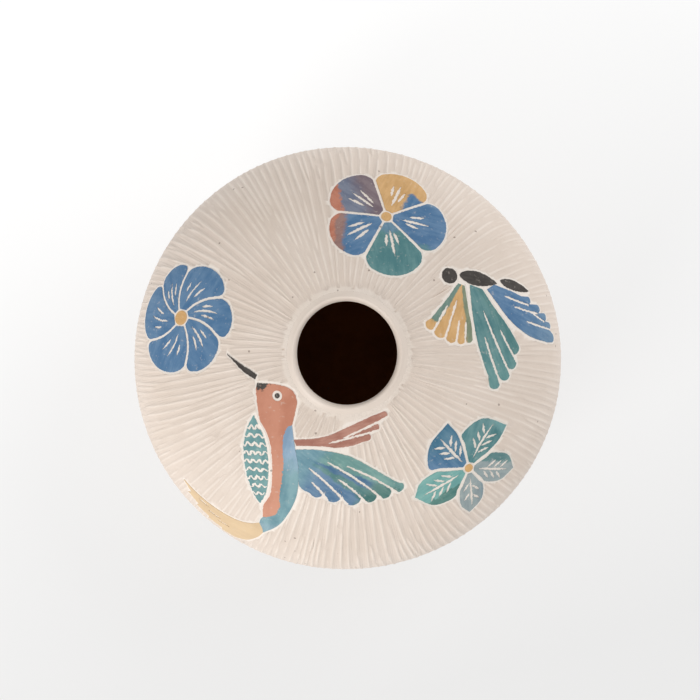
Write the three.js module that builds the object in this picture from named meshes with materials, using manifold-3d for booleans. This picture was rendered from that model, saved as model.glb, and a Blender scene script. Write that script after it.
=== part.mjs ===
// A squat, closed pottery vase with a small round mouth, as a folk potter builds it: five clay
// members luted together (foot ring, base slab, lower wall, shoulder wall and lip coil), and the
// separate islands of coloured slip that make up its painted flowers, winged insect and bird.
// Millimetres, +Z up, origin at the middle of the circle that the foot ring stands on.
import * as THREE from "three";
import Module from "manifold-3d";
import { mergeVertices } from "three/addons/utils/BufferGeometryUtils.js";

// ---------------------------------------------------------------- driving dimensions
const BODY_RADIUS = 80; // at the belly, the widest line of the pot
const BELLY_HEIGHT = 54; // of the belly above the table
const SHOULDER_RISE = 50; // from the belly to where the shoulder's curve would close on the axis
const WALL = 5; // thickness of the clay walls
const MOUTH_RADIUS = 18; // of the clear opening
const LIP_WIDTH = 3.5; // of the lip coil, seen from above
const LIP_RISE = 1.2; // of the lip's crest over the shoulder beside it
const SEAM_BELOW_BELLY = 12; // the shoulder wall is luted to the lower wall this far down
const FOOT_HEIGHT = 4;
const FOOT_RADIUS = 42;
const FOOT_WIDTH = 7;
const FOOT_SETBACK = 8; // of the foot ring's outside from the edge of the base slab's underside
const FOOT_CHAMFER = 0.8;
const SLAB_THICKNESS = 6; // of the base slab
const SLIP_THICKNESS = 0.4; // of the coloured slip
const SEAT_GAP = 0.3; // left under a slip island
const SEAM_GAP = 0.4; // left between two colours that the painter lays edge to edge
const INCISED_LINE = 0.9; // width of the line scratched between two islands
const UNROLLED_HOLE = 20; // laid flat, the painted band is a ring round a hole of this radius

// ---------------------------------------------------------------- facets
const AROUND = 64; // facets round each turned piece
const SHOULDER_STEPS = 12;
const LOWER_STEPS = 7;
const SEAM_STEPS = 3;
const LIP_STEPS = 10;
const RUN_STEPS = 2; // points between two points of a drawn line
const ARC_STEPS = 7; // points along a petal's edge
const TIP_STEPS = 4; // facets round a feather's end
const BEAD_STEPS = 10; // facets along a bead

const CREAM = 0xdccfc2;
const BARE_CLAY = 0xb98f72;
const BLUE = 0x4a7ba8;
const PALE_BLUE = 0x94b4c6;
const TEAL = 0x4f8583;
const PALE_TEAL = 0x7fb5b8;
const GREY_TEAL = 0x8b9f9f;
const OCHRE = 0xd2a468;
const PALE_OCHRE = 0xe2c79c;
const RUST = 0xcc7f66;
const PLUM = 0x83686b;
const BLACK = 0x45413e;

const vase = new THREE.Group();
vase.name = "vase";

function fired(colour) {
  return new THREE.MeshStandardMaterial({ color: colour, roughness: 0.75, metalness: 0 });
}

function place(name, geometry, colour) {
  const mesh = new THREE.Mesh(geometry, fired(colour));
  mesh.name = name;
  vase.add(mesh);
}

// ---------------------------------------------------------------- turned clay
const lipJointRadius = MOUTH_RADIUS + LIP_WIDTH;
const seamHeight = BELLY_HEIGHT - SEAM_BELOW_BELLY;
const slabTop = FOOT_HEIGHT + SLAB_THICKNESS;

// The lower curve leaves the belly upright and comes in to the base slab's underside, just outside
// the foot ring; this is how far down it would close on the axis.
const baseShare = (FOOT_RADIUS + FOOT_SETBACK) / BODY_RADIUS;
const lowerDrop = (BELLY_HEIGHT - FOOT_HEIGHT) / Math.sqrt(1 - baseShare ** 2);

// Part of the ellipse about the belly's centre that closes `rise` above it, from radius `from` to
// radius `to`, `inset` inside the outer face.
function quarter(rise, from, to, inset = 0) {
  const radius = BODY_RADIUS - inset;
  const height = rise - Math.sign(rise) * inset;
  const start = Math.acos(from / radius);
  const end = Math.acos(to / radius);
  return new THREE.EllipseCurve(0, BELLY_HEIGHT, radius, height, start, end, end < start);
}

// Radius of the lower curve at a height.
function lowerRadius(height, inset = 0) {
  const fall = (BELLY_HEIGHT - height) / (lowerDrop - inset);
  return (BODY_RADIUS - inset) * Math.sqrt(1 - fall * fall);
}

function turned(profile) {
  const geometry = new THREE.LatheGeometry(profile, AROUND);
  geometry.rotateX(Math.PI / 2);
  return geometry;
}

function closed(points) {
  return [...points, points[0].clone()];
}

// Both walls are luted on level rings, so the ring's ends carry the joint's exact height.
function levelEnds(points, first, last) {
  if (first !== undefined) points[0].y = first;
  if (last !== undefined) points[points.length - 1].y = last;
  return points;
}

function footRing() {
  const inner = FOOT_RADIUS - FOOT_WIDTH;
  const profile = [
    [inner, FOOT_HEIGHT],
    [inner, FOOT_CHAMFER],
    [inner + FOOT_CHAMFER, 0],
    [FOOT_RADIUS - FOOT_CHAMFER, 0],
    [FOOT_RADIUS, FOOT_CHAMFER],
    [FOOT_RADIUS, FOOT_HEIGHT],
  ].map(([r, z]) => new THREE.Vector2(r, z));
  return turned(closed(profile));
}

function baseSlab() {
  const rim = quarter(-lowerDrop, lowerRadius(FOOT_HEIGHT), lowerRadius(slabTop));
  const edge = levelEnds(rim.getPoints(2), FOOT_HEIGHT, slabTop);
  return turned([new THREE.Vector2(0, FOOT_HEIGHT), ...edge, new THREE.Vector2(0, slabTop)]);
}

function lowerWall() {
  const outer = quarter(-lowerDrop, lowerRadius(slabTop), lowerRadius(seamHeight));
  const inner = quarter(-lowerDrop, lowerRadius(seamHeight, WALL), lowerRadius(slabTop, WALL), WALL);
  return turned(
    closed([
      ...levelEnds(outer.getPoints(LOWER_STEPS), slabTop, seamHeight),
      ...levelEnds(inner.getPoints(LOWER_STEPS), seamHeight, slabTop),
    ]),
  );
}

function shoulderWall() {
  const innerBelly = BODY_RADIUS - WALL;
  const outerSkirt = quarter(-lowerDrop, lowerRadius(seamHeight), BODY_RADIUS);
  const outer = quarter(SHOULDER_RISE, BODY_RADIUS, lipJointRadius);
  const inner = quarter(SHOULDER_RISE, lipJointRadius, innerBelly, WALL);
  const innerSkirt = quarter(-lowerDrop, innerBelly, lowerRadius(seamHeight, WALL), WALL);
  return turned(
    closed([
      ...levelEnds(outerSkirt.getPoints(SEAM_STEPS), seamHeight),
      ...outer.getPoints(SHOULDER_STEPS).slice(1),
      ...inner.getPoints(SHOULDER_STEPS - 4),
      ...levelEnds(innerSkirt.getPoints(SEAM_STEPS), undefined, seamHeight).slice(1),
    ]),
  );
}

// The lip coil is luted inside the shoulder wall's upper edge and rolled over into the mouth.
function lipCoil() {
  const top = quarter(SHOULDER_RISE, BODY_RADIUS, lipJointRadius).getPoint(1).y;
  const bottom = quarter(SHOULDER_RISE, BODY_RADIUS - WALL, lipJointRadius, WALL).getPoint(1).y;
  const roll = new THREE.SplineCurve(
    [
      [lipJointRadius, top],
      [MOUTH_RADIUS + LIP_WIDTH * 0.5, top + LIP_RISE],
      [MOUTH_RADIUS, (top + bottom) / 2],
      [MOUTH_RADIUS + LIP_WIDTH * 0.45, bottom],
      [lipJointRadius, bottom],
    ].map(([r, z]) => new THREE.Vector2(r, z)),
  );
  return turned(closed(roll.getPoints(LIP_STEPS)));
}

place("foot_ring", footRing(), BARE_CLAY);
place("base_slab", baseSlab(), BARE_CLAY);
place("lower_wall", lowerWall(), CREAM);
place("shoulder_wall", shoulderWall(), CREAM);
place("lip_coil", lipCoil(), CREAM);

// ---------------------------------------------------------------- the painted band
// The painter's band runs from the lip's joint (0 %) down the shoulder to the belly (100 %). A place
// on it is an angle in degrees, anticlockwise from +X, and that share of the way down.
const band = quarter(SHOULDER_RISE, lipJointRadius, BODY_RADIUS);
const bandLength = band.getLength();

function onBand([degrees, percent]) {
  const radius = band.getPointAt(percent / 100).x;
  const angle = THREE.MathUtils.degToRad(degrees);
  return new THREE.Vector2(radius * Math.cos(angle), radius * Math.sin(angle));
}

// Motifs are set out on the band laid flat; `flat` and `unflat` go to that plane and back.
function flat([degrees, percent]) {
  const angle = THREE.MathUtils.degToRad(degrees);
  const far = UNROLLED_HOLE + (percent / 100) * bandLength;
  return new THREE.Vector2(far * Math.cos(angle), far * Math.sin(angle));
}

function unflat(point) {
  const degrees = THREE.MathUtils.radToDeg(point.angle());
  return [degrees, (100 * (point.length() - UNROLLED_HOLE)) / bandLength];
}

// The place `reach` from a centre, in a direction that is measured anticlockwise from outwards.
function beside(centre, reach, direction) {
  const middle = flat(centre);
  const turn = middle.angle() + THREE.MathUtils.degToRad(direction);
  return unflat(middle.add(new THREE.Vector2(reach * Math.cos(turn), reach * Math.sin(turn))));
}

// The place `distance` round the pot from another.
function shifted([degrees, percent], distance) {
  const radius = band.getPointAt(percent / 100).x;
  return [degrees + THREE.MathUtils.radToDeg(distance / radius), percent];
}

const wasm = await Module();
wasm.setup();

function solid(geometry) {
  const bare = geometry.clone();
  bare.deleteAttribute("normal");
  bare.deleteAttribute("uv");
  const merged = mergeVertices(bare, 1e-4);
  return new wasm.Manifold(
    new wasm.Mesh({
      numProp: 3,
      vertProperties: new Float32Array(merged.attributes.position.array),
      triVerts: new Uint32Array(merged.index.array),
    }),
  );
}

function geometryOf(manifold) {
  const mesh = manifold.getMesh();
  const geometry = new THREE.BufferGeometry();
  geometry.setAttribute("position", new THREE.BufferAttribute(new Float32Array(mesh.vertProperties), 3));
  geometry.setIndex(new THREE.BufferAttribute(new Uint32Array(mesh.triVerts), 1));
  return geometry;
}

// The layer that all the coloured slip lies in: the shoulder's own curve, stood off it.
function slipLayer() {
  const curve = quarter(SHOULDER_RISE, BODY_RADIUS, lipJointRadius);
  const places = Array.from({ length: SHOULDER_STEPS + 1 }, (_, i) => i / SHOULDER_STEPS);
  const lifted = (height) =>
    places.map((t) => {
      const point = curve.getPoint(t);
      const normal = new THREE.Vector2(
        point.x / BODY_RADIUS ** 2,
        (point.y - BELLY_HEIGHT) / SHOULDER_RISE ** 2,
      ).normalize();
      return point.addScaledVector(normal, height);
    });
  const outside = lifted(SEAT_GAP + SLIP_THICKNESS);
  return solid(turned(closed([...outside, ...lifted(SEAT_GAP).reverse()])));
}

const layer = slipLayer();

// A vertical prism on an outline drawn in plan.
function prism(outline) {
  const shape = new THREE.Shape(outline);
  const depth = SHOULDER_RISE + LIP_RISE + SLIP_THICKNESS;
  const geometry = new THREE.ExtrudeGeometry(shape, { depth, bevelEnabled: false, steps: 1 });
  geometry.translate(0, 0, BELLY_HEIGHT - LIP_RISE);
  return solid(geometry);
}

function island(name, colour, outlines, cuts = []) {
  const drawn = outlines.map(prism).reduce((sum, part) => sum.add(part));
  const trimmed = cuts.map(prism).reduce((rest, cut) => rest.subtract(cut), drawn);
  place(name, geometryOf(layer.intersect(trimmed)), colour);
}

// A closed outline of smooth runs that meet at corners; each run is a list of places on the band.
function outline(...runs) {
  return runs.flatMap((run) => {
    const points = run.map(onBand);
    return new THREE.SplineCurve(points).getPoints((points.length - 1) * RUN_STEPS).slice(0, -1);
  });
}

function disc(centre, radius) {
  return Array.from({ length: 12 }, (_, i) => onBand(beside(centre, radius, i * 30)));
}

// A slender bead of slip, fullest nearer its first end.
function bead(first, last, width, lean) {
  const start = flat(first);
  const axis = flat(last).sub(start);
  const normal = new THREE.Vector2(-axis.y, axis.x).normalize();
  const side = (sign) =>
    Array.from({ length: BEAD_STEPS - 1 }, (_, i) => {
      const t = (i + 1) / BEAD_STEPS;
      const half = 0.5 * width * Math.sin(Math.PI * t ** lean) ** 0.75;
      return onBand(unflat(start.clone().addScaledVector(axis, t).addScaledVector(normal, sign * half)));
    });
  return [onBand(first), ...side(1), onBand(last), ...side(-1).reverse()];
}

// A wing, brushed on as one sheet: its leading edge, the round ends of its feathers as
// [degrees, percent, radius], and its trailing edge.
function wing(name, colour, leading, tips, trailing) {
  const front = outline(leading);
  const rear = outline(trailing);
  const root = flat(leading[0]).add(flat(trailing[trailing.length - 1])).multiplyScalar(0.5);
  const centres = tips.map(([degrees, percent]) => flat([degrees, percent]));
  const rays = centres.map((centre) => centre.clone().sub(root));
  const turning = Math.sign(rays[0].cross(rays[rays.length - 1]));
  const between = centres.slice(1).map((centre, i) => {
    const share = centre.distanceTo(centres[i]) / (tips[i][2] + tips[i + 1][2]);
    return Math.PI / 2 - Math.acos(Math.min(1, share));
  });
  const spans = [1.2, ...between, 1.2];
  const rim = centres.flatMap((centre, i) =>
    Array.from({ length: TIP_STEPS + 1 }, (_, k) => {
      const swing = -spans[i] + ((spans[i] + spans[i + 1]) * k) / TIP_STEPS;
      const turn = rays[i].angle() + turning * swing;
      const radius = tips[i][2];
      const end = new THREE.Vector2(radius * Math.cos(turn), radius * Math.sin(turn));
      return onBand(unflat(end.add(centre)));
    }),
  );
  const heel = onBand(trailing[trailing.length - 1]);
  island(name, colour, [[...front, ...rim, ...rear, heel]]);
}

// ---------------------------------------------------------------- flowers
// Places up a petal's side, from the flower's eye out to `far`, half an incised line from `edge`.
function petalSide(flower, edge, sign, far, length) {
  const near = flower.eye + INCISED_LINE;
  return [0, 0.3, 0.65, 1].map((t) => {
    const reach = near + t * (far - near);
    const inset = THREE.MathUtils.radToDeg((sign * INCISED_LINE) / 2 / reach);
    return beside(flower.centre, reach, edge + inset + (flower.swirl * reach) / length);
  });
}

// A fan petal fills the directions `from` to `to` round the flower's eye; the flower's `swirl` turns
// its sides as they run out.
function fanPetal(flower, from, to, length) {
  const flank = flower.flank * length;
  const rim = Array.from({ length: ARC_STEPS - 1 }, (_, i) => {
    const t = (i + 1) / ARC_STEPS;
    const reach = flank + (length - flank) * Math.sin(Math.PI * t) ** 0.56;
    return beside(flower.centre, reach, from + t * (to - from) + (flower.swirl * reach) / length);
  });
  const out = petalSide(flower, from, 1, flank, length);
  const back = petalSide(flower, to, -1, flank, length).reverse();
  return [...out, ...rim, ...back].map(onBand);
}

// A leaf petal's two sides leave the eye straight, then curve by way of a belly to a point at `tip`.
// Each side has its own share of the length for where it leaves the line and for its belly.
function leafPetal(flower, from, to, tip, length, flanks, bellies) {
  const side = (edge, sign, flank, belly) => [
    ...petalSide(flower, edge, sign, flank * length, length),
    beside(flower.centre, belly * length, (edge + tip) / 2),
    beside(flower.centre, length, tip),
  ];
  const out = side(from, 1, flanks[0], bellies[0]);
  const back = side(to, -1, flanks[1], bellies[1]).reverse();
  return outline(out, back, [back[back.length - 1], out[0]]);
}

function pinwheelFlower() {
  const flower = { centre: [167.5, 53], eye: 2.7, swirl: -34, flank: 0.82 };
  const lines = [-10, 66, 139, 195, 242, 306, 350];
  for (let i = 0; i < 6; i++) {
    island(`pinwheel_petal_${i + 1}`, BLUE, [fanPetal(flower, lines[i], lines[i + 1], 21.6)]);
  }
  island("pinwheel_eye", OCHRE, [disc(flower.centre, flower.eye)]);
}

function pansyFlower() {
  const flower = { centre: [74, 38.5], eye: 1.9, swirl: 0, flank: 0.77 };
  const petals = [
    ["upper", OCHRE, -48, 29, 21.9],
    ["upper_left", PLUM, 29, 101, 22.9],
    ["left", BLUE, 101, 169, 21.7],
    ["lower", TEAL, 169, 239, 23.2],
    ["right", BLUE, 239, 312, 22.6],
  ];
  for (const [name, colour, from, to, length] of petals) {
    island(`pansy_petal_${name}`, colour, [fanPetal(flower, from, to, length)]);
  }
  island("pansy_eye", OCHRE, [disc(flower.centre, flower.eye)]);
}

function leafFlower() {
  const flower = { centre: [317, 50.5], eye: 1.6, swirl: 0 };
  const petals = [
    ["upper_left", BLUE, 152, 222, 162, 20, [0.5, 0.78], [0.75, 0.92]],
    ["upper_right", TEAL, 79, 151, 91, 21.3, [0.45, 0.66], [0.72, 0.9]],
    ["right", GREY_TEAL, 2, 75, 36, 21.3, [0.5, 0.52], [0.79, 0.81]],
    ["lower", GREY_TEAL, 297, 359, 324, 20.8, [0.5, 0.52], [0.78, 0.8]],
    ["left", PALE_TEAL, 224, 294, 251, 22.6, [0.58, 0.58], [0.84, 0.84]],
  ];
  for (const [name, colour, ...drawn] of petals) {
    island(`leaf_petal_${name}`, colour, [leafPetal(flower, ...drawn)]);
  }
  island("leaf_flower_eye", OCHRE, [disc(flower.centre, flower.eye)]);
}

// ---------------------------------------------------------------- winged insect
function insect() {
  island("insect_head", BLACK, [disc([37.3, 31.4], 2.9)]);
  island("insect_thorax", BLACK, [bead([35.2, 35.6], [25.4, 50.4], 5.4, 0.8)]);
  island("insect_tail", BLACK, [bead([25.8, 52.8], [19.4, 67.2], 4, 0.8)]);
  wing(
    "insect_wing_small",
    OCHRE,
    [[32.4, 32.6], [31, 29], [28, 22.8], [24, 15.6], [21.8, 12.8]],
    [[19.2, 12.6, 2], [13.2, 15.8, 2.3], [8.9, 20.2, 2], [7, 24.4, 1.6], [6.9, 28, 1.4]],
    [[8.4, 29.8], [13, 30.4], [20, 31.2], [30.6, 35]],
  );
  wing(
    "insect_wing_middle",
    TEAL,
    [[29.4, 37.2], [19.6, 33], [7, 31.8], [-3.4, 34.6], [-9, 37.8]],
    [[-11, 41.4, 2.3], [-7.2, 45.8, 2.3], [-2.8, 48.9, 2.4], [2.4, 50.2, 2.6]],
    [[5.8, 51.2], [10.8, 47.9], [17.6, 44], [26.4, 41.6]],
  );
  wing(
    "insect_wing_large",
    BLUE,
    [[25.4, 48.6], [21, 56.6], [18.4, 61.6]],
    [[17, 64, 1.7], [13.8, 69, 1.8], [11.2, 73, 1.7], [8.6, 76, 1.4], [5.2, 77.2, 2]],
    [[3.9, 73], [5.4, 62.4], [8.4, 55.2], [13, 49.6], [20, 45.8], [25.4, 44]],
  );
}

// ---------------------------------------------------------------- bird
function bird() {
  island("bird_bill", BLACK, [
    outline(
      [[180.2, 27], [186.4, 20], [193.4, 14.2]],
      [[193.4, 14.2], [195.8, 15.6]],
      [[195.8, 15.6], [189.4, 20.3], [180.2, 27]],
    ),
  ]);

  // The rust flank and the pale blue back meet along the seam, and the back and the tail at the rump.
  const eye = [211.5, 9.2];
  const crown = [198.4, 15];
  const seam = [
    [232.5, 12.8], [231.4, 16], [234, 21.5], [240, 30], [242.8, 38], [244.8, 46], [246.2, 50.4],
    [245.6, 56], [242.6, 60],
  ];
  const vent = seam[seam.length - 1];
  const head = outline(
    [crown, [203.8, 7.6], [211, 3.2], [218, 2.4], [224.6, 4], [229, 7.8], seam[0]],
    seam,
    [vent, [241, 54], [241.3, 46.5], [239, 39], [235, 31.5], [230, 26], [224.5, 23], [217.6, 21.6],
      [209.6, 18.8], [200.8, 16.4]],
    [[200.8, 16.4], crown],
  );
  island("bird_head_and_flank", RUST, [head], [disc(eye, 1.9)]);
  island("bird_eye", BLACK, [disc(eye, 0.9)]);

  const spine = [
    [238, 17.5], [242.2, 22], [246.5, 27.8], [249.2, 34.8], [250.4, 42.5], [249.8, 51.5], [248, 61],
  ];
  const rump = [[242.4, 64.4], [243.9, 67], [244.6, 69.6]];
  const backSeam = seam.map((point) => shifted(point, SEAM_GAP));
  const backVent = backSeam[backSeam.length - 1];
  island("bird_back", PALE_BLUE, [
    outline(
      [backSeam[0], ...spine.map((point) => shifted(point, -SEAM_GAP)), rump[2]],
      [...rump].reverse(),
      [rump[0], [242.3, 62], backVent],
      [...backSeam].reverse(),
    ),
  ]);

  const tailRoot = rump.map(([degrees, percent]) => [degrees, percent + (100 * SEAM_GAP) / bandLength]);
  const tailEnds = [
    [238, 87.4], [234, 88.2], [234.6, 86], [229.4, 86.8], [230.4, 84], [224.4, 84], [226.4, 81.4],
    [220.4, 81.2], [222.4, 79], [217, 76.6],
  ];
  island("bird_tail", PALE_OCHRE, [
    outline(
      tailRoot,
      [tailRoot[2], [243.6, 75], [241.2, 82.5], tailEnds[0]],
      ...tailEnds.slice(1).map((end, i) => [tailEnds[i], end]),
      [[217, 76.6], [222.6, 75.4], [229.4, 73.6], [236, 71], [240, 67.8], tailRoot[0]],
    ),
  ]);

  island("bird_breast", PALE_TEAL, [
    outline(
      [[213.5, 22.8], [225, 25.6], [231.6, 30.4], [237.4, 39.4], [239.6, 47.4], [239.6, 53.6]],
      [[239.6, 53.6], [235.6, 50.2], [230, 44.5], [223.5, 37.5], [217.5, 30], [213.5, 22.8]],
    ),
  ]);

  wing(
    "bird_wing_upper",
    RUST,
    [[239.4, 18.4], [249.6, 13.2], [259, 9.6], [274, 4.8], [290.5, 2.9], [297.6, 3.1]],
    [[300.6, 4.8, 1.3], [290.6, 8, 1.4], [283.4, 11.2, 1.3]],
    [[280, 12.8], [273.4, 13.9], [264, 15], [257.5, 15.2], [251, 16.4], [241.8, 20.8]],
  );
  wing(
    "bird_wing_lower",
    BLUE,
    [
      [242.8, 22.6], [246.6, 19.7], [252.4, 17.9], [263, 17.3], [273, 19.4], [282, 25.2], [289, 32.6],
      [292.4, 36.8],
    ],
    [
      [291, 38, 2.1], [285, 38.3, 2.6], [278.8, 38.4, 2.8], [271.9, 38.4, 3.3], [264.4, 37.2, 3.2],
      [257.6, 36.8, 2.5],
    ],
    [[255, 38.4], [252.8, 37.8], [250.6, 36.4], [249.6, 33.4], [247.6, 28.6], [244.6, 24.6]],
  );
}

pinwheelFlower();
pansyFlower();
leafFlower();
insect();
bird();

export default vase;
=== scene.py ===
"""A squat closed vase in cream earthenware: turned members, slip-painted flowers, an insect and a
bird with scratched details, and a shoulder carved with fine strokes that stop at the painting."""

import math

import bpy
import numpy as np
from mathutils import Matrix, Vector
from mathutils.geometry import delaunay_2d_cdt


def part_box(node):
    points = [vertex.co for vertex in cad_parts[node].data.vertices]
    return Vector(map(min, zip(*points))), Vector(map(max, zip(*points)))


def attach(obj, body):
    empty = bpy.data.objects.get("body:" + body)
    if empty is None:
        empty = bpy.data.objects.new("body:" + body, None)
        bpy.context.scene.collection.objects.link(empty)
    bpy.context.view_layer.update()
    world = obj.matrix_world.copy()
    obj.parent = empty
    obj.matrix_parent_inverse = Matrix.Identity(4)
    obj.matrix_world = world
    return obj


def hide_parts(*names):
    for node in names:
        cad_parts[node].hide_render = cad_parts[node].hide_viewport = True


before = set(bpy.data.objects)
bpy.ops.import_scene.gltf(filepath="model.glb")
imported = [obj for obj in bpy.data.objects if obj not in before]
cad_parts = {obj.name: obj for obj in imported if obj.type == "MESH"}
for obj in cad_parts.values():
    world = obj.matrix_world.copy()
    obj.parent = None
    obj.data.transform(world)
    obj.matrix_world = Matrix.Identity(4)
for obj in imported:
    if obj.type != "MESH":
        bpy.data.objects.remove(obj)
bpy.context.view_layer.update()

# ------------------------------------------------------------------ base: foot ring, slab, lower wall
# The bottom of the pot: a coil foot, a pressed slab and the lower wall, all of the same red-brown
# earthenware. The wall is burnished under a cream slip; the foot and the slab are left bare, and
# the inside is left dark and unslipped. A hand-built pot is never quite round.
BODY_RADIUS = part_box("shoulder_wall")[1].x
BELLY_HEIGHT = 0.054
SHOULDER_RISE = 0.050
WALL = 0.005
FOOT_SETBACK = 0.008
SEAM_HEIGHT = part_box("shoulder_wall")[0].z
FOOT_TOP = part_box("foot_ring")[1].z
FOOT_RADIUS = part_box("foot_ring")[1].x
FOOT_WIDTH = 0.007
SLAB_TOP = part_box("base_slab")[1].z
LIP_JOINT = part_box("lip_coil")[1].x
LOWER_DROP = (BELLY_HEIGHT - FOOT_TOP) / math.sqrt(
    1 - ((FOOT_RADIUS + FOOT_SETBACK) / BODY_RADIUS) ** 2
)
OVAL_GROWTH = 0.0113  # how fast the pot becomes oval with its radius
OVAL_START = 0.0005  # how oval it is the other way, at the axis
LOBES = 0.00028  # of the three-sided unroundness at the belly
LOBE_TURN = 0.6  # how far round the lobes are turned, as a phase
CLAY_ROUND = 240  # facets round a turned member
CORNER = math.radians(60)  # edges that turn more than this are left sharp


def group_sockets(tree, inputs, outputs):
    for name, kind, value in inputs:
        socket = tree.interface.new_socket(name=name, in_out="INPUT", socket_type=kind)
        if value is not None:
            socket.default_value = value
    for name, kind in outputs:
        tree.interface.new_socket(name=name, in_out="OUTPUT", socket_type=kind)


class Wiring:
    """Adds nodes to a tree, with their inputs given as values or as other nodes' sockets."""

    def __init__(self, tree):
        self.tree = tree

    def add(self, kind, *inputs, **settings):
        node = self.tree.nodes.new(kind)
        named = settings.pop("named", {})
        for key, value in settings.items():
            setattr(node, key, value)
        for key, value in list(enumerate(inputs)) + list(named.items()):
            if value is None:
                continue
            if isinstance(value, bpy.types.NodeSocket):
                self.tree.links.new(value, node.inputs[key])
            else:
                node.inputs[key].default_value = value
        return node

    def math(self, operation, *inputs, kind="ShaderNodeMath", **settings):
        return self.add(kind, *inputs, operation=operation, **settings).outputs[0]

    def ramp(self, value, low, high, to_low=0.0, to_high=1.0, smooth=True):
        kind = "SMOOTHSTEP" if smooth else "LINEAR"
        node = self.add(
            "ShaderNodeMapRange", value, low, high, to_low, to_high, interpolation_type=kind
        )
        return node.outputs[0]

    def mix(self, factor, first, second, blend="MIX"):
        node = self.add("ShaderNodeMix", data_type="RGBA", blend_type=blend)
        for key, value in ((0, factor), (6, first), (7, second)):
            if isinstance(value, bpy.types.NodeSocket):
                self.tree.links.new(value, node.inputs[key])
            elif key == 0:
                node.inputs[key].default_value = value
            else:
                node.inputs[key].default_value = (*value, 1.0)[:4]
        return node.outputs[2]


def hand_turned_tree():
    """Revolves a row of profile vertices (in XZ) about Z and leaves it as uneven as a hand does."""
    tree = bpy.data.node_groups.new("hand_turned", "GeometryNodeTree")
    group_sockets(
        tree,
        [
            ("Profile", "NodeSocketGeometry", None),
            ("Facets", "NodeSocketInt", CLAY_ROUND),
            ("Oval Growth", "NodeSocketFloat", OVAL_GROWTH),
            ("Oval Start", "NodeSocketFloat", OVAL_START),
            ("Lobes", "NodeSocketFloat", LOBES / BODY_RADIUS),
            ("Middle Height", "NodeSocketFloat", BELLY_HEIGHT),
            ("Outside", "NodeSocketMaterial", None),
            ("Inside", "NodeSocketMaterial", None),
        ],
        [("Member", "NodeSocketGeometry")],
    )
    w = Wiring(tree)
    given = w.add("NodeGroupInput").outputs
    rows = w.add("GeometryNodeAttributeDomainSize", given["Profile"]).outputs["Point Count"]
    columns = w.math("ADD", given["Facets"], 1)
    grid = w.add("GeometryNodeMeshGrid", 1.0, 1.0, columns, rows).outputs["Mesh"]
    index = w.add("GeometryNodeInputIndex").outputs[0]
    column = w.math("FLOOR", w.math("DIVIDE", w.math("ADD", index, 0.5), rows))
    row = w.math("SUBTRACT", index, w.math("MULTIPLY", column, rows))
    turn = w.math("DIVIDE", w.math("MULTIPLY", column, 2 * math.pi), given["Facets"])
    place = w.add(
        "GeometryNodeSampleIndex",
        given["Profile"],
        named={"Index": row},
        data_type="FLOAT_VECTOR",
        domain="POINT",
    )
    here = w.add("GeometryNodeInputPosition").outputs[0]
    tree.links.new(here, place.inputs["Value"])
    profile = w.add("ShaderNodeSeparateXYZ", place.outputs[0]).outputs
    oval = w.math("SUBTRACT", w.math("MULTIPLY", profile[0], given["Oval Growth"]), given["Oval Start"])
    oval = w.math("MULTIPLY", oval, w.math("COSINE", w.math("MULTIPLY", turn, 2.0)))
    lobes = w.math("COSINE", w.math("ADD", w.math("MULTIPLY", turn, 3.0), LOBE_TURN))
    lobes = w.math("MULTIPLY", w.math("MULTIPLY", lobes, given["Lobes"]), profile[0])
    on_axis = w.math("GREATER_THAN", profile[0], 1e-6)
    uneven = w.math("MULTIPLY", w.math("ADD", oval, lobes), on_axis)
    radius = w.math("ADD", profile[0], uneven)
    across = w.math("MULTIPLY", radius, w.math("COSINE", turn))
    along = w.math("MULTIPLY", radius, w.math("SINE", turn))
    spun = w.add("ShaderNodeCombineXYZ", across, along, profile[2]).outputs[0]
    skin = w.add("GeometryNodeSetPosition", grid, named={"Position": spun}).outputs[0]
    skin = w.add("GeometryNodeMergeByDistance", skin, named={"Distance": 1e-6}).outputs[0]
    skin = w.add("GeometryNodeSetShadeSmooth", skin, named={"Shade Smooth": True}).outputs[0]
    normal = w.add("GeometryNodeInputNormal").outputs[0]
    middle = w.add("ShaderNodeCombineXYZ", 0.0, 0.0, given["Middle Height"]).outputs[0]
    outward = w.math("SUBTRACT", here, middle, kind="ShaderNodeVectorMath")
    facing = w.add("ShaderNodeVectorMath", normal, outward, operation="DOT_PRODUCT").outputs["Value"]
    inner = w.math("LESS_THAN", facing, 0.0)
    skin = w.add("GeometryNodeRealizeInstances", skin).outputs[0]
    skin = w.add("GeometryNodeSetMaterial", skin, named={"Material": given["Outside"]}).outputs[0]
    skin = w.add(
        "GeometryNodeSetMaterial", skin, named={"Selection": inner, "Material": given["Inside"]}
    ).outputs[0]
    w.add("NodeGroupOutput", skin)
    return tree


hand_turned = hand_turned_tree()


def turned_member(name, profile, outside, inside=None):
    """A turned clay member from its profile, a list of (radius, height) that runs anticlockwise."""
    mesh = bpy.data.meshes.new(name + "_profile")
    mesh.from_pydata([(r, 0, z) for r, z in profile], [(i, i + 1) for i in range(len(profile) - 1)], [])
    blank = bpy.data.objects.new(name + "_profile", mesh)
    bpy.context.scene.collection.objects.link(blank)
    modifier = blank.modifiers.new("turning", "NODES")
    modifier.node_group = hand_turned
    sockets = {s.name: s.identifier for s in hand_turned.interface.items_tree if s.in_out == "INPUT"}
    modifier[sockets["Outside"]] = outside
    modifier[sockets["Inside"]] = inside or outside
    solid = bpy.data.meshes.new_from_object(blank.evaluated_get(bpy.context.evaluated_depsgraph_get()))
    blank.modifiers.clear()
    bpy.data.objects.remove(blank)
    solid.name = name
    solid.set_sharp_from_angle(angle=CORNER)
    member = bpy.data.objects.new(name, solid)
    bpy.context.scene.collection.objects.link(member)
    return member


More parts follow.
